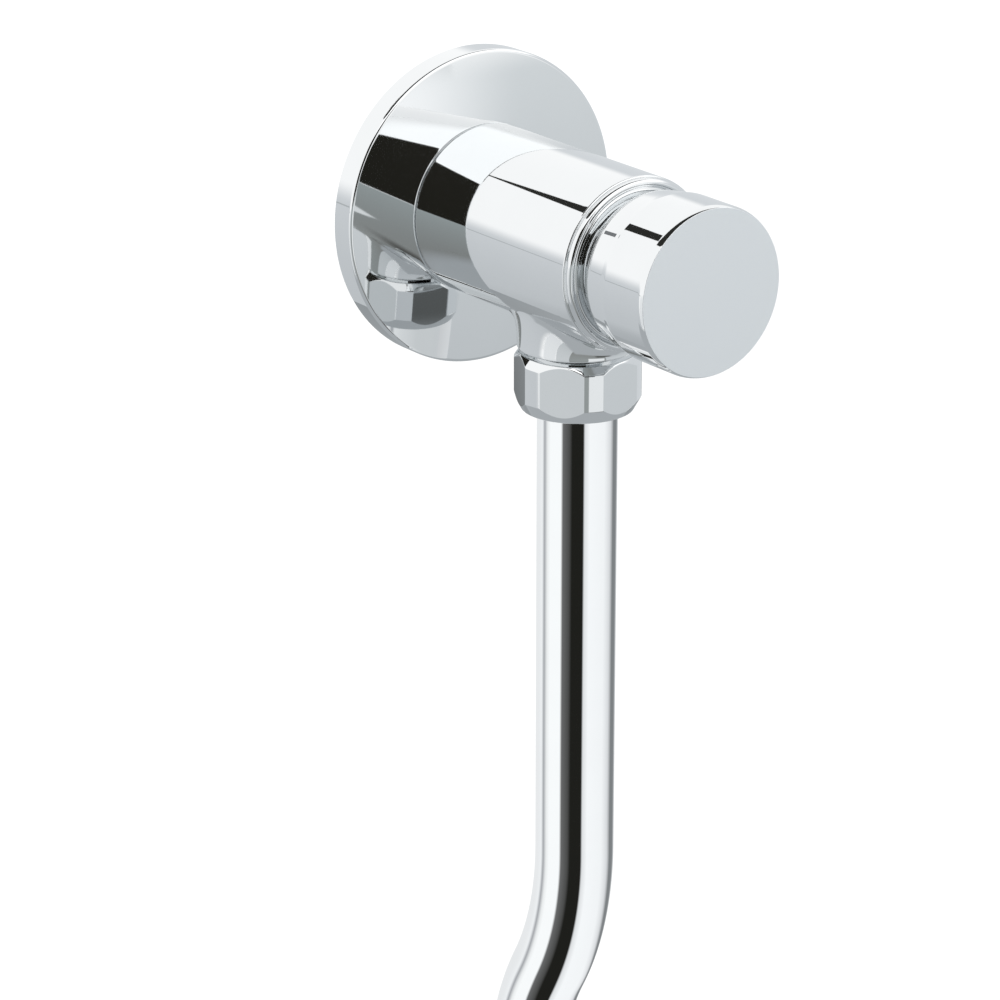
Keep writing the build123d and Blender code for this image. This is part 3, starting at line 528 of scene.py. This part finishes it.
coil_place = add_node(coil_rule, "GeometryNodeTransform", {"Rotation": (math.radians(90), 0, 0)}, {
    "Geometry": coil_skin.outputs["Mesh"], "Translation": coil_given.outputs["Start"]})
end_rule(coil_rule, coil_given, coil_place.outputs["Geometry"])


def wind(name, turns, mean_radius, rear, rise, wire, wire_sides, finish):
    """A coil round the valve's axis that starts at a depth and rises towards the room."""
    piece = link_mesh(name, [], [])
    follow(piece, coil_rule, {
        "Turns": turns, "Mean Radius": mean_radius, "Rise": rise, "Start": (0, -rear, 0),
        "Wire Radius": wire / 2, "Wire Sides": wire_sides, "Finish": finish})
    bake(piece)
    piece.data.materials.clear()
    return piece


thread_radius, thread_pitch, thread_height = 10.4775 * mm, 1.814 * mm, 1.0 * mm
thread_root = thread_radius - thread_height
nipple_low, nipple_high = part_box("inlet_nipple")
nipple_front, nipple_rear = -nipple_low.y, -nipple_high.y
nipple_groove, nipple_chamfer, nipple_bore = 1.6 * mm, 0.8 * mm, 7.5 * mm
nipple_lead, nipple_lead_length = 0.3 * mm, 0.5 * mm
key_flat, key_length, key_sides = 6.0 * mm, 9.0 * mm, 6
key_past_end, key_past_bore = 1.0 * mm, 0.5 * mm
nipple = lathe("inlet_nipple_turned", [
    (0, nipple_rear), (thread_root - nipple_lead, nipple_rear),
    (thread_root, nipple_rear + nipple_lead_length), (thread_root, nipple_groove),
    (thread_radius, nipple_groove), (thread_radius, nipple_front - nipple_chamfer),
    (thread_radius - nipple_chamfer, nipple_front), (nipple_bore, nipple_front),
    (nipple_bore, nipple_rear + key_length), (0, nipple_rear + key_length),
], {1: 0.15 * mm, 4: 0.1 * mm, 5: 0.1 * mm, 6: 0.1 * mm, 7: 0.2 * mm})
key_corner = key_flat / math.cos(math.pi / key_sides)
key_ends = (-nipple_rear + key_past_end, -nipple_rear - key_length - key_past_bore)
key_turns = [math.tau * k / key_sides for k in range(key_sides)]
key_points = [(key_corner * math.sin(t), y, key_corner * math.cos(t)) for y in key_ends for t in key_turns]
key_faces = [tuple(range(key_sides)), tuple(range(key_sides, 2 * key_sides))]
for k in range(key_sides):
    n = (k + 1) % key_sides
    key_faces.append((k, n, key_sides + n, key_sides + k))
key = link_mesh("key_socket", key_points, key_faces, smooth=False)
cut_out(nipple, key)
settle(nipple, "valve", "raw_brass", raw_brass, "inlet_nipple")
thread_turns, thread_lead = 9, 1.3 * mm
thread_ridge = 2 * thread_height - 0.1 * mm
thread = wind("inlet_nipple_thread", thread_turns, thread_root, nipple_rear + thread_lead,
              thread_turns * thread_pitch, thread_ridge, wire_sides=4, finish=raw_brass)
settle(thread, "valve", "raw_brass", raw_brass)
dress("nipple_o_ring", rubber)
dress("inlet_strainer", stainless)

# Body: cast brass, turned, polished and chrome plated. A plain cylinder whose underside runs in
# one blended sweep into the outlet boss, which widens a little above the union nut.
body_rear = rosette_height
boss_bottom = 23.3 * mm
body_front = 62.0 * mm
nut_low, nut_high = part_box("union_nut")
outlet_depth = -(nut_low.y + nut_high.y) / 2
outlet_axis = Vector((0, -outlet_depth, 0))
boss_waist = 13.3 * mm
boss_rim = 13.5 * mm
boss_blend = 4.0 * mm
blend_pull = 0.62
spigot_bottom = 30.3 * mm
spigot_chamfer = 0.3 * mm
body_edge = 0.4 * mm
seam_depth, seam_width = 0.5 * mm, 0.2 * mm
patch_turns, patch_rows, rest_steps = 40, 40, 56
patch_half_turn = math.radians(75)
patch_half_depth = 18.6 * mm
sweep_steps, patch_steps = 28, 14
# The lower edge of the boss's rim is rounded, in steps inwards from the rim and up from its foot.
rim_edge = ((0.02 * mm, 0.22 * mm), (0.12 * mm, 0.07 * mm), (0.35 * mm, 0.0))
rim_rounding = rim_edge[-1][0]


def on_body(turn, depth):
    """A point of the body's cylinder; the turn is measured from straight down."""
    return Vector((body_radius * math.sin(turn), -depth, -body_radius * math.cos(turn)))


def boss_sweep(angle):
    """Points from the body's surface down to the boss's rim in the plane at an angle about the
    outlet's axis. The foot is where a ball rolling between body and boss would touch the body."""
    spread = boss_waist + boss_blend
    across, deep = spread * math.cos(angle), spread * math.sin(angle)
    ball_path = body_radius + boss_blend
    fall = math.sqrt(ball_path**2 - across**2)
    foot = Vector((across * body_radius / ball_path, -outlet_depth - deep,
                   -fall * body_radius / ball_path))
    outward = Vector((math.cos(angle), -math.sin(angle), 0))
    normal = Vector((foot.x, 0, foot.z)).normalized()
    inward = (-outward - normal * (-outward).dot(normal)).normalized()
    rim = Vector((0, -outlet_depth, -boss_bottom + rim_rounding)) + outward * boss_rim
    to_waist = foot.dot(outward) - outlet_axis.dot(outward) - boss_waist
    knee = foot + inward * to_waist / -inward.dot(outward)
    second, third = foot.lerp(knee, blend_pull), rim.lerp(knee, blend_pull)
    points = []
    for i in range(sweep_steps + 1):
        t = i / sweep_steps
        points.append(foot * (1 - t) ** 3 + second * 3 * t * (1 - t) ** 2
                      + third * 3 * t**2 * (1 - t) + rim * t**3)
    return foot, points


def body_border():
    """Grid points round the patch of the cylinder that surrounds the boss."""
    turns = [patch_half_turn * (2 * i / patch_turns - 1) for i in range(patch_turns + 1)]
    depths = [outlet_depth + patch_half_depth * (2 * i / patch_rows - 1) for i in range(patch_rows + 1)]
    front = [(t, depths[-1]) for t in turns[:-1]]
    right = [(turns[-1], d) for d in reversed(depths[1:])]
    rear = [(t, depths[0]) for t in reversed(turns[1:])]
    left = [(turns[0], d) for d in depths[:-1]]
    return turns, depths, front + right + rear + left


# The cylinder is a grid of quads: the patch round the boss, the rest of the way round, and the rings
# to the two ends.
turns, depths, border = body_border()
body_vertices, body_faces = [], []


def add_strip(rows, closed=True):
    """Adds rows of points as a strip of quads."""
    first = len(body_vertices)
    wide = len(rows[0])
    for row in rows:
        body_vertices.extend(row)
    for j in range(len(rows) - 1):
        for k in range(wide if closed else wide - 1):
            n = (k + 1) % wide
            body_faces.append((first + j * wide + k, first + j * wide + n,
                               first + (j + 1) * wide + n, first + (j + 1) * wide + k))


boss_foot = [(boss_rim - inward, boss_bottom - up) for inward, up in rim_edge] + [
    (thread_radius, boss_bottom), (thread_radius, spigot_bottom - spigot_chamfer),
    (thread_radius - spigot_chamfer, spigot_bottom),
]
patch_columns = []
for turn, depth in border:
    angle = math.atan2(depth - outlet_depth, turn * body_radius)
    foot, sweep = boss_sweep(angle)
    foot_turn, foot_depth = math.atan2(foot.x, -foot.z), -foot.y
    column = []
    for i in range(patch_steps):
        column.append(on_body(turn + (foot_turn - turn) * i / patch_steps,
                              depth + (foot_depth - depth) * i / patch_steps))
    column += sweep
    outward = Vector((math.cos(angle), -math.sin(angle), 0))
    for radius, drop in boss_foot:
        column.append(outlet_axis + outward * radius + Vector((0, 0, -drop)))
    patch_columns.append(column)
add_strip([list(row) for row in zip(*patch_columns)])
body_faces.append(tuple(range(len(body_vertices) - len(border), len(body_vertices))))
rest_turn = math.tau - 2 * patch_half_turn
rest_turns = [patch_half_turn + rest_turn * i / rest_steps for i in range(rest_steps + 1)]
add_strip([[on_body(t, d) for t in rest_turns] for d in depths], closed=False)
full_turns = turns[:-1] + rest_turns[:-1]


def end_ring(depth, inset):
    """A ring of the cylinder's grid at a depth, drawn in by an inset."""
    shrink = 1 - inset / body_radius
    ring = [on_body(t, depth) for t in full_turns]
    return [Vector((p.x * shrink, p.y, p.z * shrink)) for p in ring]


rear_rows = [end_ring(body_rear, seam_depth), end_ring(body_rear + seam_width, seam_depth)]
front_rows = [end_ring(depths[-1], 0)]
for bend in quarter_turn:
    sine_gap, cosine_gap = body_edge * (1 - math.sin(bend)), body_edge * (1 - math.cos(bend))
    rear_rows.append(end_ring(body_rear + (seam_width + cosine_gap), sine_gap))
    front_rows.append(end_ring(body_front - sine_gap, cosine_gap))
rear_rows.append(end_ring(depths[0], 0))
add_strip(rear_rows)
add_strip(front_rows)
for row in (rear_rows[0], front_rows[-1]):
    first = len(body_vertices)
    body_vertices.extend(row)
    body_faces.append(tuple(range(first, first + len(row))))
body = link_mesh("body_casting", body_vertices, body_faces)

# Its bores, from the wall to the front and down through the boss, are cut by two cores that reach
# past the casting.
core_rear, core_front = 5.0 * mm, 64.0 * mm
mouth_radius, mouth_floor = 12.38 * mm, 9.2 * mm
socket_radius, socket_floor = 10.58 * mm, 13.4 * mm
throat_radius, inlet_rear = 8.5 * mm, 14.5 * mm
inlet_radius, partition_rear = 16.2 * mm, 31.6 * mm
seat_bore, partition_front = 13.4 * mm, 35.6 * mm
chamber_radius, bonnet_seat = 15.5 * mm, 50.2 * mm
bonnet_bore, front_step = 17.0 * mm, 59.9 * mm
front_bore = 18.65 * mm
outlet_core_top, outlet_core_bottom = 8.0 * mm, 32.0 * mm
outlet_bore, spigot_bore, spigot_bore_top = 5.9 * mm, 8.6 * mm, 21.5 * mm
core = lathe("body_core", [
    (0, core_rear), (mouth_radius, core_rear), (mouth_radius, mouth_floor), (socket_radius, mouth_floor),
    (socket_radius, socket_floor), (throat_radius, socket_floor), (throat_radius, inlet_rear),
    (inlet_radius, inlet_rear), (inlet_radius, partition_rear), (seat_bore, partition_rear),
    (seat_bore, partition_front), (chamber_radius, partition_front), (chamber_radius, bonnet_seat),
    (bonnet_bore, bonnet_seat), (bonnet_bore, front_step), (front_bore, front_step),
    (front_bore, core_front), (0, core_front),
], {})
outlet_core = lathe("outlet_core", [
    (0, outlet_core_top), (outlet_bore, outlet_core_top), (outlet_bore, spigot_bore_top),
    (spigot_bore, spigot_bore_top), (spigot_bore, outlet_core_bottom), (0, outlet_core_bottom),
], {}, axis_point=outlet_axis, along=(0, 0, -1))
cut_out(body, core, outlet_core)
settle(body, "valve", "chrome", chrome, "valve_body")

# Guide cup, needle and closing spring: the moulded cup stands on its feet in the inlet chamber and
# guides the piston; the needle is pressed into its floor; the spring is coiled from stainless wire.

# Moulded acetal: a dense white plastic, waxy and a little uneven in gloss where it flowed into the
# mould, with the fine skin of a spark-eroded mould.
acetal = moulded("acetal_moulded", ("e2e0d6", "ebe9e1"), gloss=(0.32, 0.45), cloud_size=6 * mm,
                 cloud_detail=3.0, skin_size=0.25 * mm, skin_height=0.01 * mm, skin_strength=0.3)
wire_sides = 16


def coil_spring(name, node, wire, coils, mean_radius, body="valve", share=(0.0, 1.0)):
    """A share of a spring between the ends of its CAD piece, which the joint presses together."""
    low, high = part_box(node)
    length = high.y - low.y
    rear, front = (-high.y + length * part for part in share)
    first = rear + wire / 2 if share[0] == 0 else rear
    last = front - wire / 2 if share[1] == 1 else front
    spring = wind(name, coils, mean_radius, first, last - first, wire, wire_sides, stainless)
    spring.data.shade_smooth()
    settle(spring, body, "stainless", stainless, node)
    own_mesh(spring)


dress("guide_cup", acetal)
dress("cleaning_needle", stainless)
coil_spring("closing_spring_coil", "closing_spring", wire=0.8 * mm, coils=4, mean_radius=6.2 * mm)

# Piston and its trim: a moulded acetal piston with a lip seal round it, a bleed nozzle through its
# flange and a rubber seat washer that a screwed brass retainer holds.
dress("piston", acetal)
dress("piston_cup", rubber)
dress("bleed_nozzle", raw_brass)
dress("seat_washer", rubber)
dress("washer_retainer", raw_brass)

# Relief stem: turned brass with a rubber washer, pressed on its seat in the piston by a light
# stainless spring and lifted by the push pin. The piston presses the spring's rear half and the
# stem its front half, which rides on the piston.
dress("relief_stem", raw_brass)
dress("relief_washer", rubber)
relief_wire, relief_coils, relief_radius, relief_travel = 0.5 * mm, 2, 2.5 * mm, 2.0 * mm
# The halves end a hair apart.
coil_spring("relief_spring_rear_half", "relief_spring", relief_wire, relief_coils, relief_radius,
            share=(0.0, 0.499))
coil_spring("relief_spring_front_half", "relief_spring", relief_wire, relief_coils, relief_radius,
            body="piston_set", share=(0.501, 1.0))

# Seat ring: turned brass, screwed into the body's partition with a pin key. The piston's washer
# closes on its rim.
dress("valve_seat", raw_brass)

# Bonnet: the turned brass head screwed into the body. Only its polished trim lip shows, in the
# gap between body and button: a rounded bead, a flat floor inside it, and a thin collar that the
# button's skirt slips over. A recess goes down round the hub inside the collar.
lip_outer, lip_inner, lip_crest = 19.05 * mm, 17.2 * mm, 63.6 * mm
collar_outer, collar_inner, collar_front = 15.7 * mm, 14.9 * mm, 67.0 * mm
bonnet_floor = 62.5 * mm
bonnet_shoulder, shoulder_radius = 60.0 * mm, 18.55 * mm
bonnet_radius, bonnet_mouth = 16.9 * mm, 13.8 * mm
ring_groove_radius, ring_groove_rear, ring_groove_front = 15.3 * mm, 52.4 * mm, 54.1 * mm
recess_radius = 14.2 * mm
web_rear, web_front = 53.6 * mm, 58.0 * mm
pin_bore, gland_bore, gland_floor = 2.08 * mm, 4.05 * mm, 54.85 * mm
hub_front, hub_radius = -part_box("bonnet")[0].y, 7.0 * mm
bead_middle, bead_foot = (lip_inner + lip_outer) / 2, bonnet_floor + 0.1 * mm
bead_half_width = (lip_outer - lip_inner) / 2
bead_steps = 20
lip_bead = [
    (bead_middle - bead_half_width * math.cos(t), bead_foot + (lip_crest - bead_foot) * math.sin(t))
    for t in (math.radians(180 * i / bead_steps) for i in range(bead_steps + 1))
]
bonnet_profile = [
    (shoulder_radius, body_front), (shoulder_radius, bonnet_shoulder), (bonnet_radius, bonnet_shoulder),
    (bonnet_radius, ring_groove_front), (ring_groove_radius, ring_groove_front),
    (ring_groove_radius, ring_groove_rear), (bonnet_radius, ring_groove_rear), (bonnet_radius, bonnet_seat),
    (bonnet_mouth, bonnet_seat), (bonnet_mouth, web_rear), (pin_bore, web_rear), (pin_bore, gland_floor),
    (gland_bore, gland_floor), (gland_bore, hub_front), (hub_radius, hub_front), (hub_radius, web_front),
    (recess_radius, web_front), (recess_radius, bonnet_floor), (collar_inner, bonnet_floor),
    (collar_inner, collar_front), (collar_outer, collar_front),
]
broken_edges = {i: 0.12 * mm for i in range(len(bonnet_profile))}
bonnet_profile += [(collar_outer, bonnet_floor), (lip_inner, bonnet_floor)]
bonnet_profile += [*lip_bead, (lip_outer, body_front)]
bonnet = lathe("bonnet_head", bonnet_profile, broken_edges)
settle(bonnet, "valve", "chrome_trim", chrome, "bonnet")
dress("bonnet_o_ring", rubber)
dress("pin_o_ring", rubber)
dress("pin_gland", raw_brass)

# Push pin, clip, carrier and button spring: a stainless pin through the bonnet, kept in by a snap
# ring, pressed into the moulded carrier that slides on the hub against a stainless spring.
dress("push_pin", stainless)
dress("retaining_clip", stainless)
dress("button_carrier", acetal)
coil_spring("button_spring_coil", "button_spring", wire=1.0 * mm, coils=6, mean_radius=10.5 * mm)

# Button: a turned brass cap, chrome plated. The skirt is polished, drawn in at the back and
# stepped out by a soft crease; the flat face is satin-blasted under the plate.
face_depth, button_rear, button_radius = -button_low.y, -button_high.y, button_high.x
button_mouth = button_radius - 2.85 * mm
carrier_front = face_depth - 1.9 * mm
skirt_foot = (button_mouth + 0.3 * mm, button_rear)
skirt_shoulder = (button_radius - 0.8 * mm, button_rear + 3.9 * mm)
skirt_crease = (button_radius - 0.25 * mm, button_rear + 8.3 * mm)
skirt_side = (button_radius, button_rear + 9.7 * mm)
skirt_round = 4.0 * mm
front_edge, front_inset = 1.5 * mm, 0.44 * mm


def tangent_arc(start, end, leaving, steps):
    """Points of the arc that leaves the start in a given direction and ends at the end."""
    begin, finish, ahead = Vector(start), Vector(end), Vector(leaving).normalized()
    chord = finish - begin
    aside = Vector((-ahead.y, ahead.x))
    radius = chord.length_squared / (2 * chord.dot(aside))
    centre = begin + aside * radius
    full = 2 * math.asin(chord.length / (2 * abs(radius))) * (1 if radius > 0 else -1)
    spoke = begin - centre
    points = []
    for i in range(steps + 1):
        t = full * i / steps
        points.append((centre.x + spoke.x * math.cos(t) - spoke.y * math.sin(t),
                       centre.y + spoke.x * math.sin(t) + spoke.y * math.cos(t)))
    return points


skirt_lean = Vector(skirt_shoulder) - Vector(skirt_crease)
skirt_curve = tangent_arc(skirt_shoulder, skirt_foot, skirt_lean, steps=16)
front_curve = tangent_arc((button_radius, face_depth - front_edge),
                          (button_radius - front_inset, face_depth), (0, 1), steps=10)
button_profile = [
    (0, carrier_front), (button_mouth, carrier_front), (button_mouth, button_rear), *reversed(skirt_curve),
    skirt_crease, skirt_side, *front_curve, (0, face_depth),
]
crease_at = button_profile.index(skirt_crease)
button = lathe("button_cap", button_profile, {
    1: 0.3 * mm, 2: 0.08 * mm, 3: 0.08 * mm, crease_at: skirt_round, crease_at + 1: skirt_round,
    len(button_profile) - 2: 0.1 * mm})
settle(button, "button_set", "button_chrome", chrome, "push_button")

# The face's satin: fine blasted grain under the plate, with the faint clouds of hand blasting.
satin, satin_tree, satin_shader, satin_place = new_finish("chrome_plate_satin", 1.0)
grain_size, satin_cloud_size, grain_height = 0.35 * mm, 8 * mm, 0.02 * mm
grain = add_node(satin_tree, "ShaderNodeTexNoise", {"Scale": 1 / grain_size, "Detail": 3.0},
                 {"Vector": satin_place})
grain_relief = add_node(satin_tree, "ShaderNodeBump", {"Strength": 0.25, "Distance": grain_height},
                        {"Height": grain.outputs["Fac"]})
satin_clouds = add_node(satin_tree, "ShaderNodeTexNoise", {"Scale": 1 / satin_cloud_size, "Detail": 3.0},
                        {"Vector": satin_place})
satin_gloss = add_node(satin_tree, "ShaderNodeMapRange", {"To Min": 0.3, "To Max": 0.4},
                       {"Value": satin_clouds.outputs["Fac"]})
satin_shader.inputs["Base Color"].default_value = linear("eceff1")
satin_tree.links.new(satin_gloss.outputs["Result"], satin_shader.inputs["Roughness"])
satin_tree.links.new(grain_relief.outputs["Normal"], satin_shader.inputs["Normal"])
button.data.materials.append(satin)
face_slack = 0.02 * mm
for face in button.data.polygons:
    if face.center.y < -face_depth + face_slack:
        face.material_index = 1

# Outlet insert: a moulded vacuum breaker in the spigot with a rubber sleeve over its windows, a
# flat rubber washer under it and a slip ring on the pipe's collar.
dress("pipe_interrupter", acetal)
dress("interrupter_sleeve", rubber)
dress("outlet_washer", rubber)
dress("thrust_ring", acetal)

# Union nut: forged hexagon brass nut with its corners turned round, polished and chrome plated.
# It draws the pipe's collar up against the body's spigot.
nut_top, nut_bottom = -nut_high.z, -nut_low.z
nut_flat, nut_corner = 13.25 * mm, 14.2 * mm
nut_top_radius, nut_top_slope = nut_flat - 0.25 * mm, 1.5
nut_bottom_radius, nut_bottom_slope = nut_flat - 0.75 * mm, 1.82
nut_turn = math.radians(37.9)
nut_sides, flat_steps, corner_steps = 6, 32, 12
nut_edge, least_nut_edge_angle = 0.16 * mm, math.radians(13)
collar_bore, thread_bore, thread_run_out = 9.2 * mm, 10.58 * mm, 35.3 * mm

flat_lean = math.acos(nut_flat / nut_corner)
corner_turn = math.tau / nut_sides - 2 * flat_lean
nut_leans = [flat_lean * (2 * i / flat_steps - 1) for i in range(flat_steps)]
nut_leans += [flat_lean + corner_turn * i / corner_steps for i in range(corner_steps)]
nut_columns = nut_sides * len(nut_leans)
nut_vertices, nut_faces = [], []
for k in range(nut_columns):
    side, step = divmod(k, len(nut_leans))
    lean = nut_leans[step]
    turn = nut_turn + math.tau * side / nut_sides + lean
    widest = nut_flat / math.cos(lean) if step < flat_steps else nut_corner
    rows = (
        (nut_top_radius, nut_top),
        (widest, nut_top + (widest - nut_top_radius) * nut_top_slope),
        (widest, nut_bottom - (widest - nut_bottom_radius) * nut_bottom_slope),
        (nut_bottom_radius, nut_bottom),
        (collar_bore, nut_bottom),
        (collar_bore, thread_run_out),
        (thread_bore, thread_run_out),
        (thread_bore, nut_top),
    )
    nut_vertices += [(r * math.cos(turn), -outlet_depth + r * math.sin(turn), -drop) for r, drop in rows]
row_count = len(nut_vertices) // nut_columns
for k in range(nut_columns):
    here, beside = k * row_count, (k + 1) % nut_columns * row_count
    for j in range(row_count):
        below = (j + 1) % row_count
        nut_faces.append((here + j, beside + j, beside + below, here + below))
nut = link_mesh("union_nut_hexagon", nut_vertices, nut_faces)
round_off = nut.modifiers.new("round_off", "BEVEL")
round_off.width, round_off.segments = nut_edge, 3
round_off.limit_method, round_off.angle_limit = "ANGLE", least_nut_edge_angle
bake(nut)
settle(nut, "valve", "chrome", chrome, "union_nut")

# Flush pipe: drawn brass tube, 18 mm, bent on a mandrel, polished and chrome plated. A collar
# soldered round its upper end sits under the nut; the lower end goes into the urinal.
pipe_radius, pipe_wall = 9.0 * mm, 1.0 * mm
pipe_top, pipe_bend_start, pipe_end = 33.3 * mm, 144.0 * mm, 16.0 * mm
pipe_bend, pipe_angle, bend_steps = 70.0 * mm, math.radians(30), 24
pipe_sides = 128
pipe_path = [(0.0, pipe_top), (0.0, (pipe_top + pipe_bend_start) / 2)]
for i in range(bend_steps + 1):
    bend = pipe_angle * i / bend_steps
    pipe_path.append((pipe_bend * (1 - math.cos(bend)), pipe_bend_start + pipe_bend * math.sin(bend)))
half_shift, half_drop = pipe_path[-1]
pipe_path += [(2 * half_shift - s, 2 * half_drop - d) for s, d in reversed(pipe_path[2:-1])]
pipe_path.append((pipe_path[-1][0], pipe_path[-1][1] + pipe_end))

# A tube is a ring drawn along a line; Solidify gives it its wall.
tube_rule, tube_given = start_rule("tube_along_path", (("Radius", "Float"), ("Sides", "Int")))
tube_line = add_node(tube_rule, "GeometryNodeMeshToCurve", links={"Mesh": tube_given.outputs["Geometry"]})
tube_ring = add_node(tube_rule, "GeometryNodeCurvePrimitiveCircle", links={
    "Radius": tube_given.outputs["Radius"], "Resolution": tube_given.outputs["Sides"]})
tube_skin = add_node(tube_rule, "GeometryNodeCurveToMesh", links={
    "Curve": tube_line.outputs["Curve"], "Profile Curve": tube_ring.outputs["Curve"]})
end_rule(tube_rule, tube_given, tube_skin.outputs["Mesh"])

pipe_line = bpy.data.meshes.new("flush_pipe_line")
pipe_line.from_pydata([(0, -outlet_depth + shift, -drop) for shift, drop in pipe_path],
                      [(i, i + 1) for i in range(len(pipe_path) - 1)], [])
pipe = bpy.data.objects.new("flush_pipe_tube", pipe_line)
scene.collection.objects.link(pipe)
follow(pipe, tube_rule, {"Radius": pipe_radius, "Sides": pipe_sides, "Finish": chrome})
thicken = pipe.modifiers.new("wall", "SOLIDIFY")
thicken.thickness, thicken.offset = pipe_wall, -1
bake(pipe)
pipe.data.materials.clear()
pipe.data.shade_smooth()
settle(pipe, "valve", "chrome", chrome, "flush_pipe")
collar_radius, collar_height = 10.3 * mm, 1.2 * mm
collar_root = pipe_radius - 0.1 * mm
collar = lathe("flush_pipe_collar", [
    (collar_root, pipe_top), (collar_radius, pipe_top),
    (collar_radius, pipe_top + collar_height), (collar_root, pipe_top + collar_height),
], {"all": 0.1 * mm}, axis_point=outlet_axis, along=(0, 0, -1))
settle(collar, "valve", "chrome", chrome)

# Light sleeve: in the studio the pipe was lit by itself, so a sleeve close round it, which only its
# own mirror shows, holds the white, grey and black walls of that set. Each stop is an azimuth in
# degrees and the tone there; the tones blend between stops.
sleeve_radius = 12.4 * mm
sleeve_stops = (
    (-180, "fbfcfc"), (-157, "fbfcfc"), (-153, "686868"), (-141, "4c4c4b"), (-136, "1f1f1c"),
    (-116, "1f1f1c"), (-113, "e0e1e2"), (-104, "f8f9fa"), (-72, "f4f5f6"), (-54, "d8d9db"),
    (-42, "7d8082"), (-26, "7d8082"), (-10, "c8cacc"), (20, "d4d6d8"), (60, "d9dbdc"),
    (101, "d9dbdc"), (142, "e8e9ea"), (155, "eff0f1"), (163, "a2a4a8"), (172, "eceded"),
)
stop_count = len(sleeve_stops)
sleeve_top, below_nut = nut_bottom + 0.1 * mm, nut_bottom + 1 * mm
sleeve_path = [(0.0, sleeve_top)] + [step for step in pipe_path if step[1] > below_nut]
sleeve_points, sleeve_faces = [], []
for shift, drop in sleeve_path:
    for turn, _ in sleeve_stops:
        aside = sleeve_radius * math.cos(math.radians(turn))
        ahead = sleeve_radius * math.sin(math.radians(turn))
        sleeve_points.append((aside, -outlet_depth + shift + ahead, -drop))
for j in range(len(sleeve_path) - 1):
    here, below = j * stop_count, (j + 1) * stop_count
    for k in range(stop_count):
        n = (k + 1) % stop_count
        sleeve_faces.append((here + k, here + n, below + n, below + k))
sleeve = link_mesh("pipe_sleeve", sleeve_points, sleeve_faces)
tones = sleeve.data.color_attributes.new("tone", "FLOAT_COLOR", "POINT")
for i in range(len(sleeve.data.vertices)):
    tones.data[i].color = linear(sleeve_stops[i % stop_count][1])
sleeve_paint = blank_paint("sleeve")
sleeve_tree = sleeve_paint.node_tree
sleeve_tone = add_node(sleeve_tree, "ShaderNodeAttribute", attribute_name="tone")
sleeve_side = add_node(sleeve_tree, "ShaderNodeNewGeometry")
sleeve_lit = add_node(sleeve_tree, "ShaderNodeEmission", {"Strength": mirror_once},
                      {"Color": sleeve_tone.outputs["Color"]})
glow_where(sleeve_tree, sleeve_side.outputs["Backfacing"], sleeve_lit)
stand_card(sleeve, sleeve_paint)
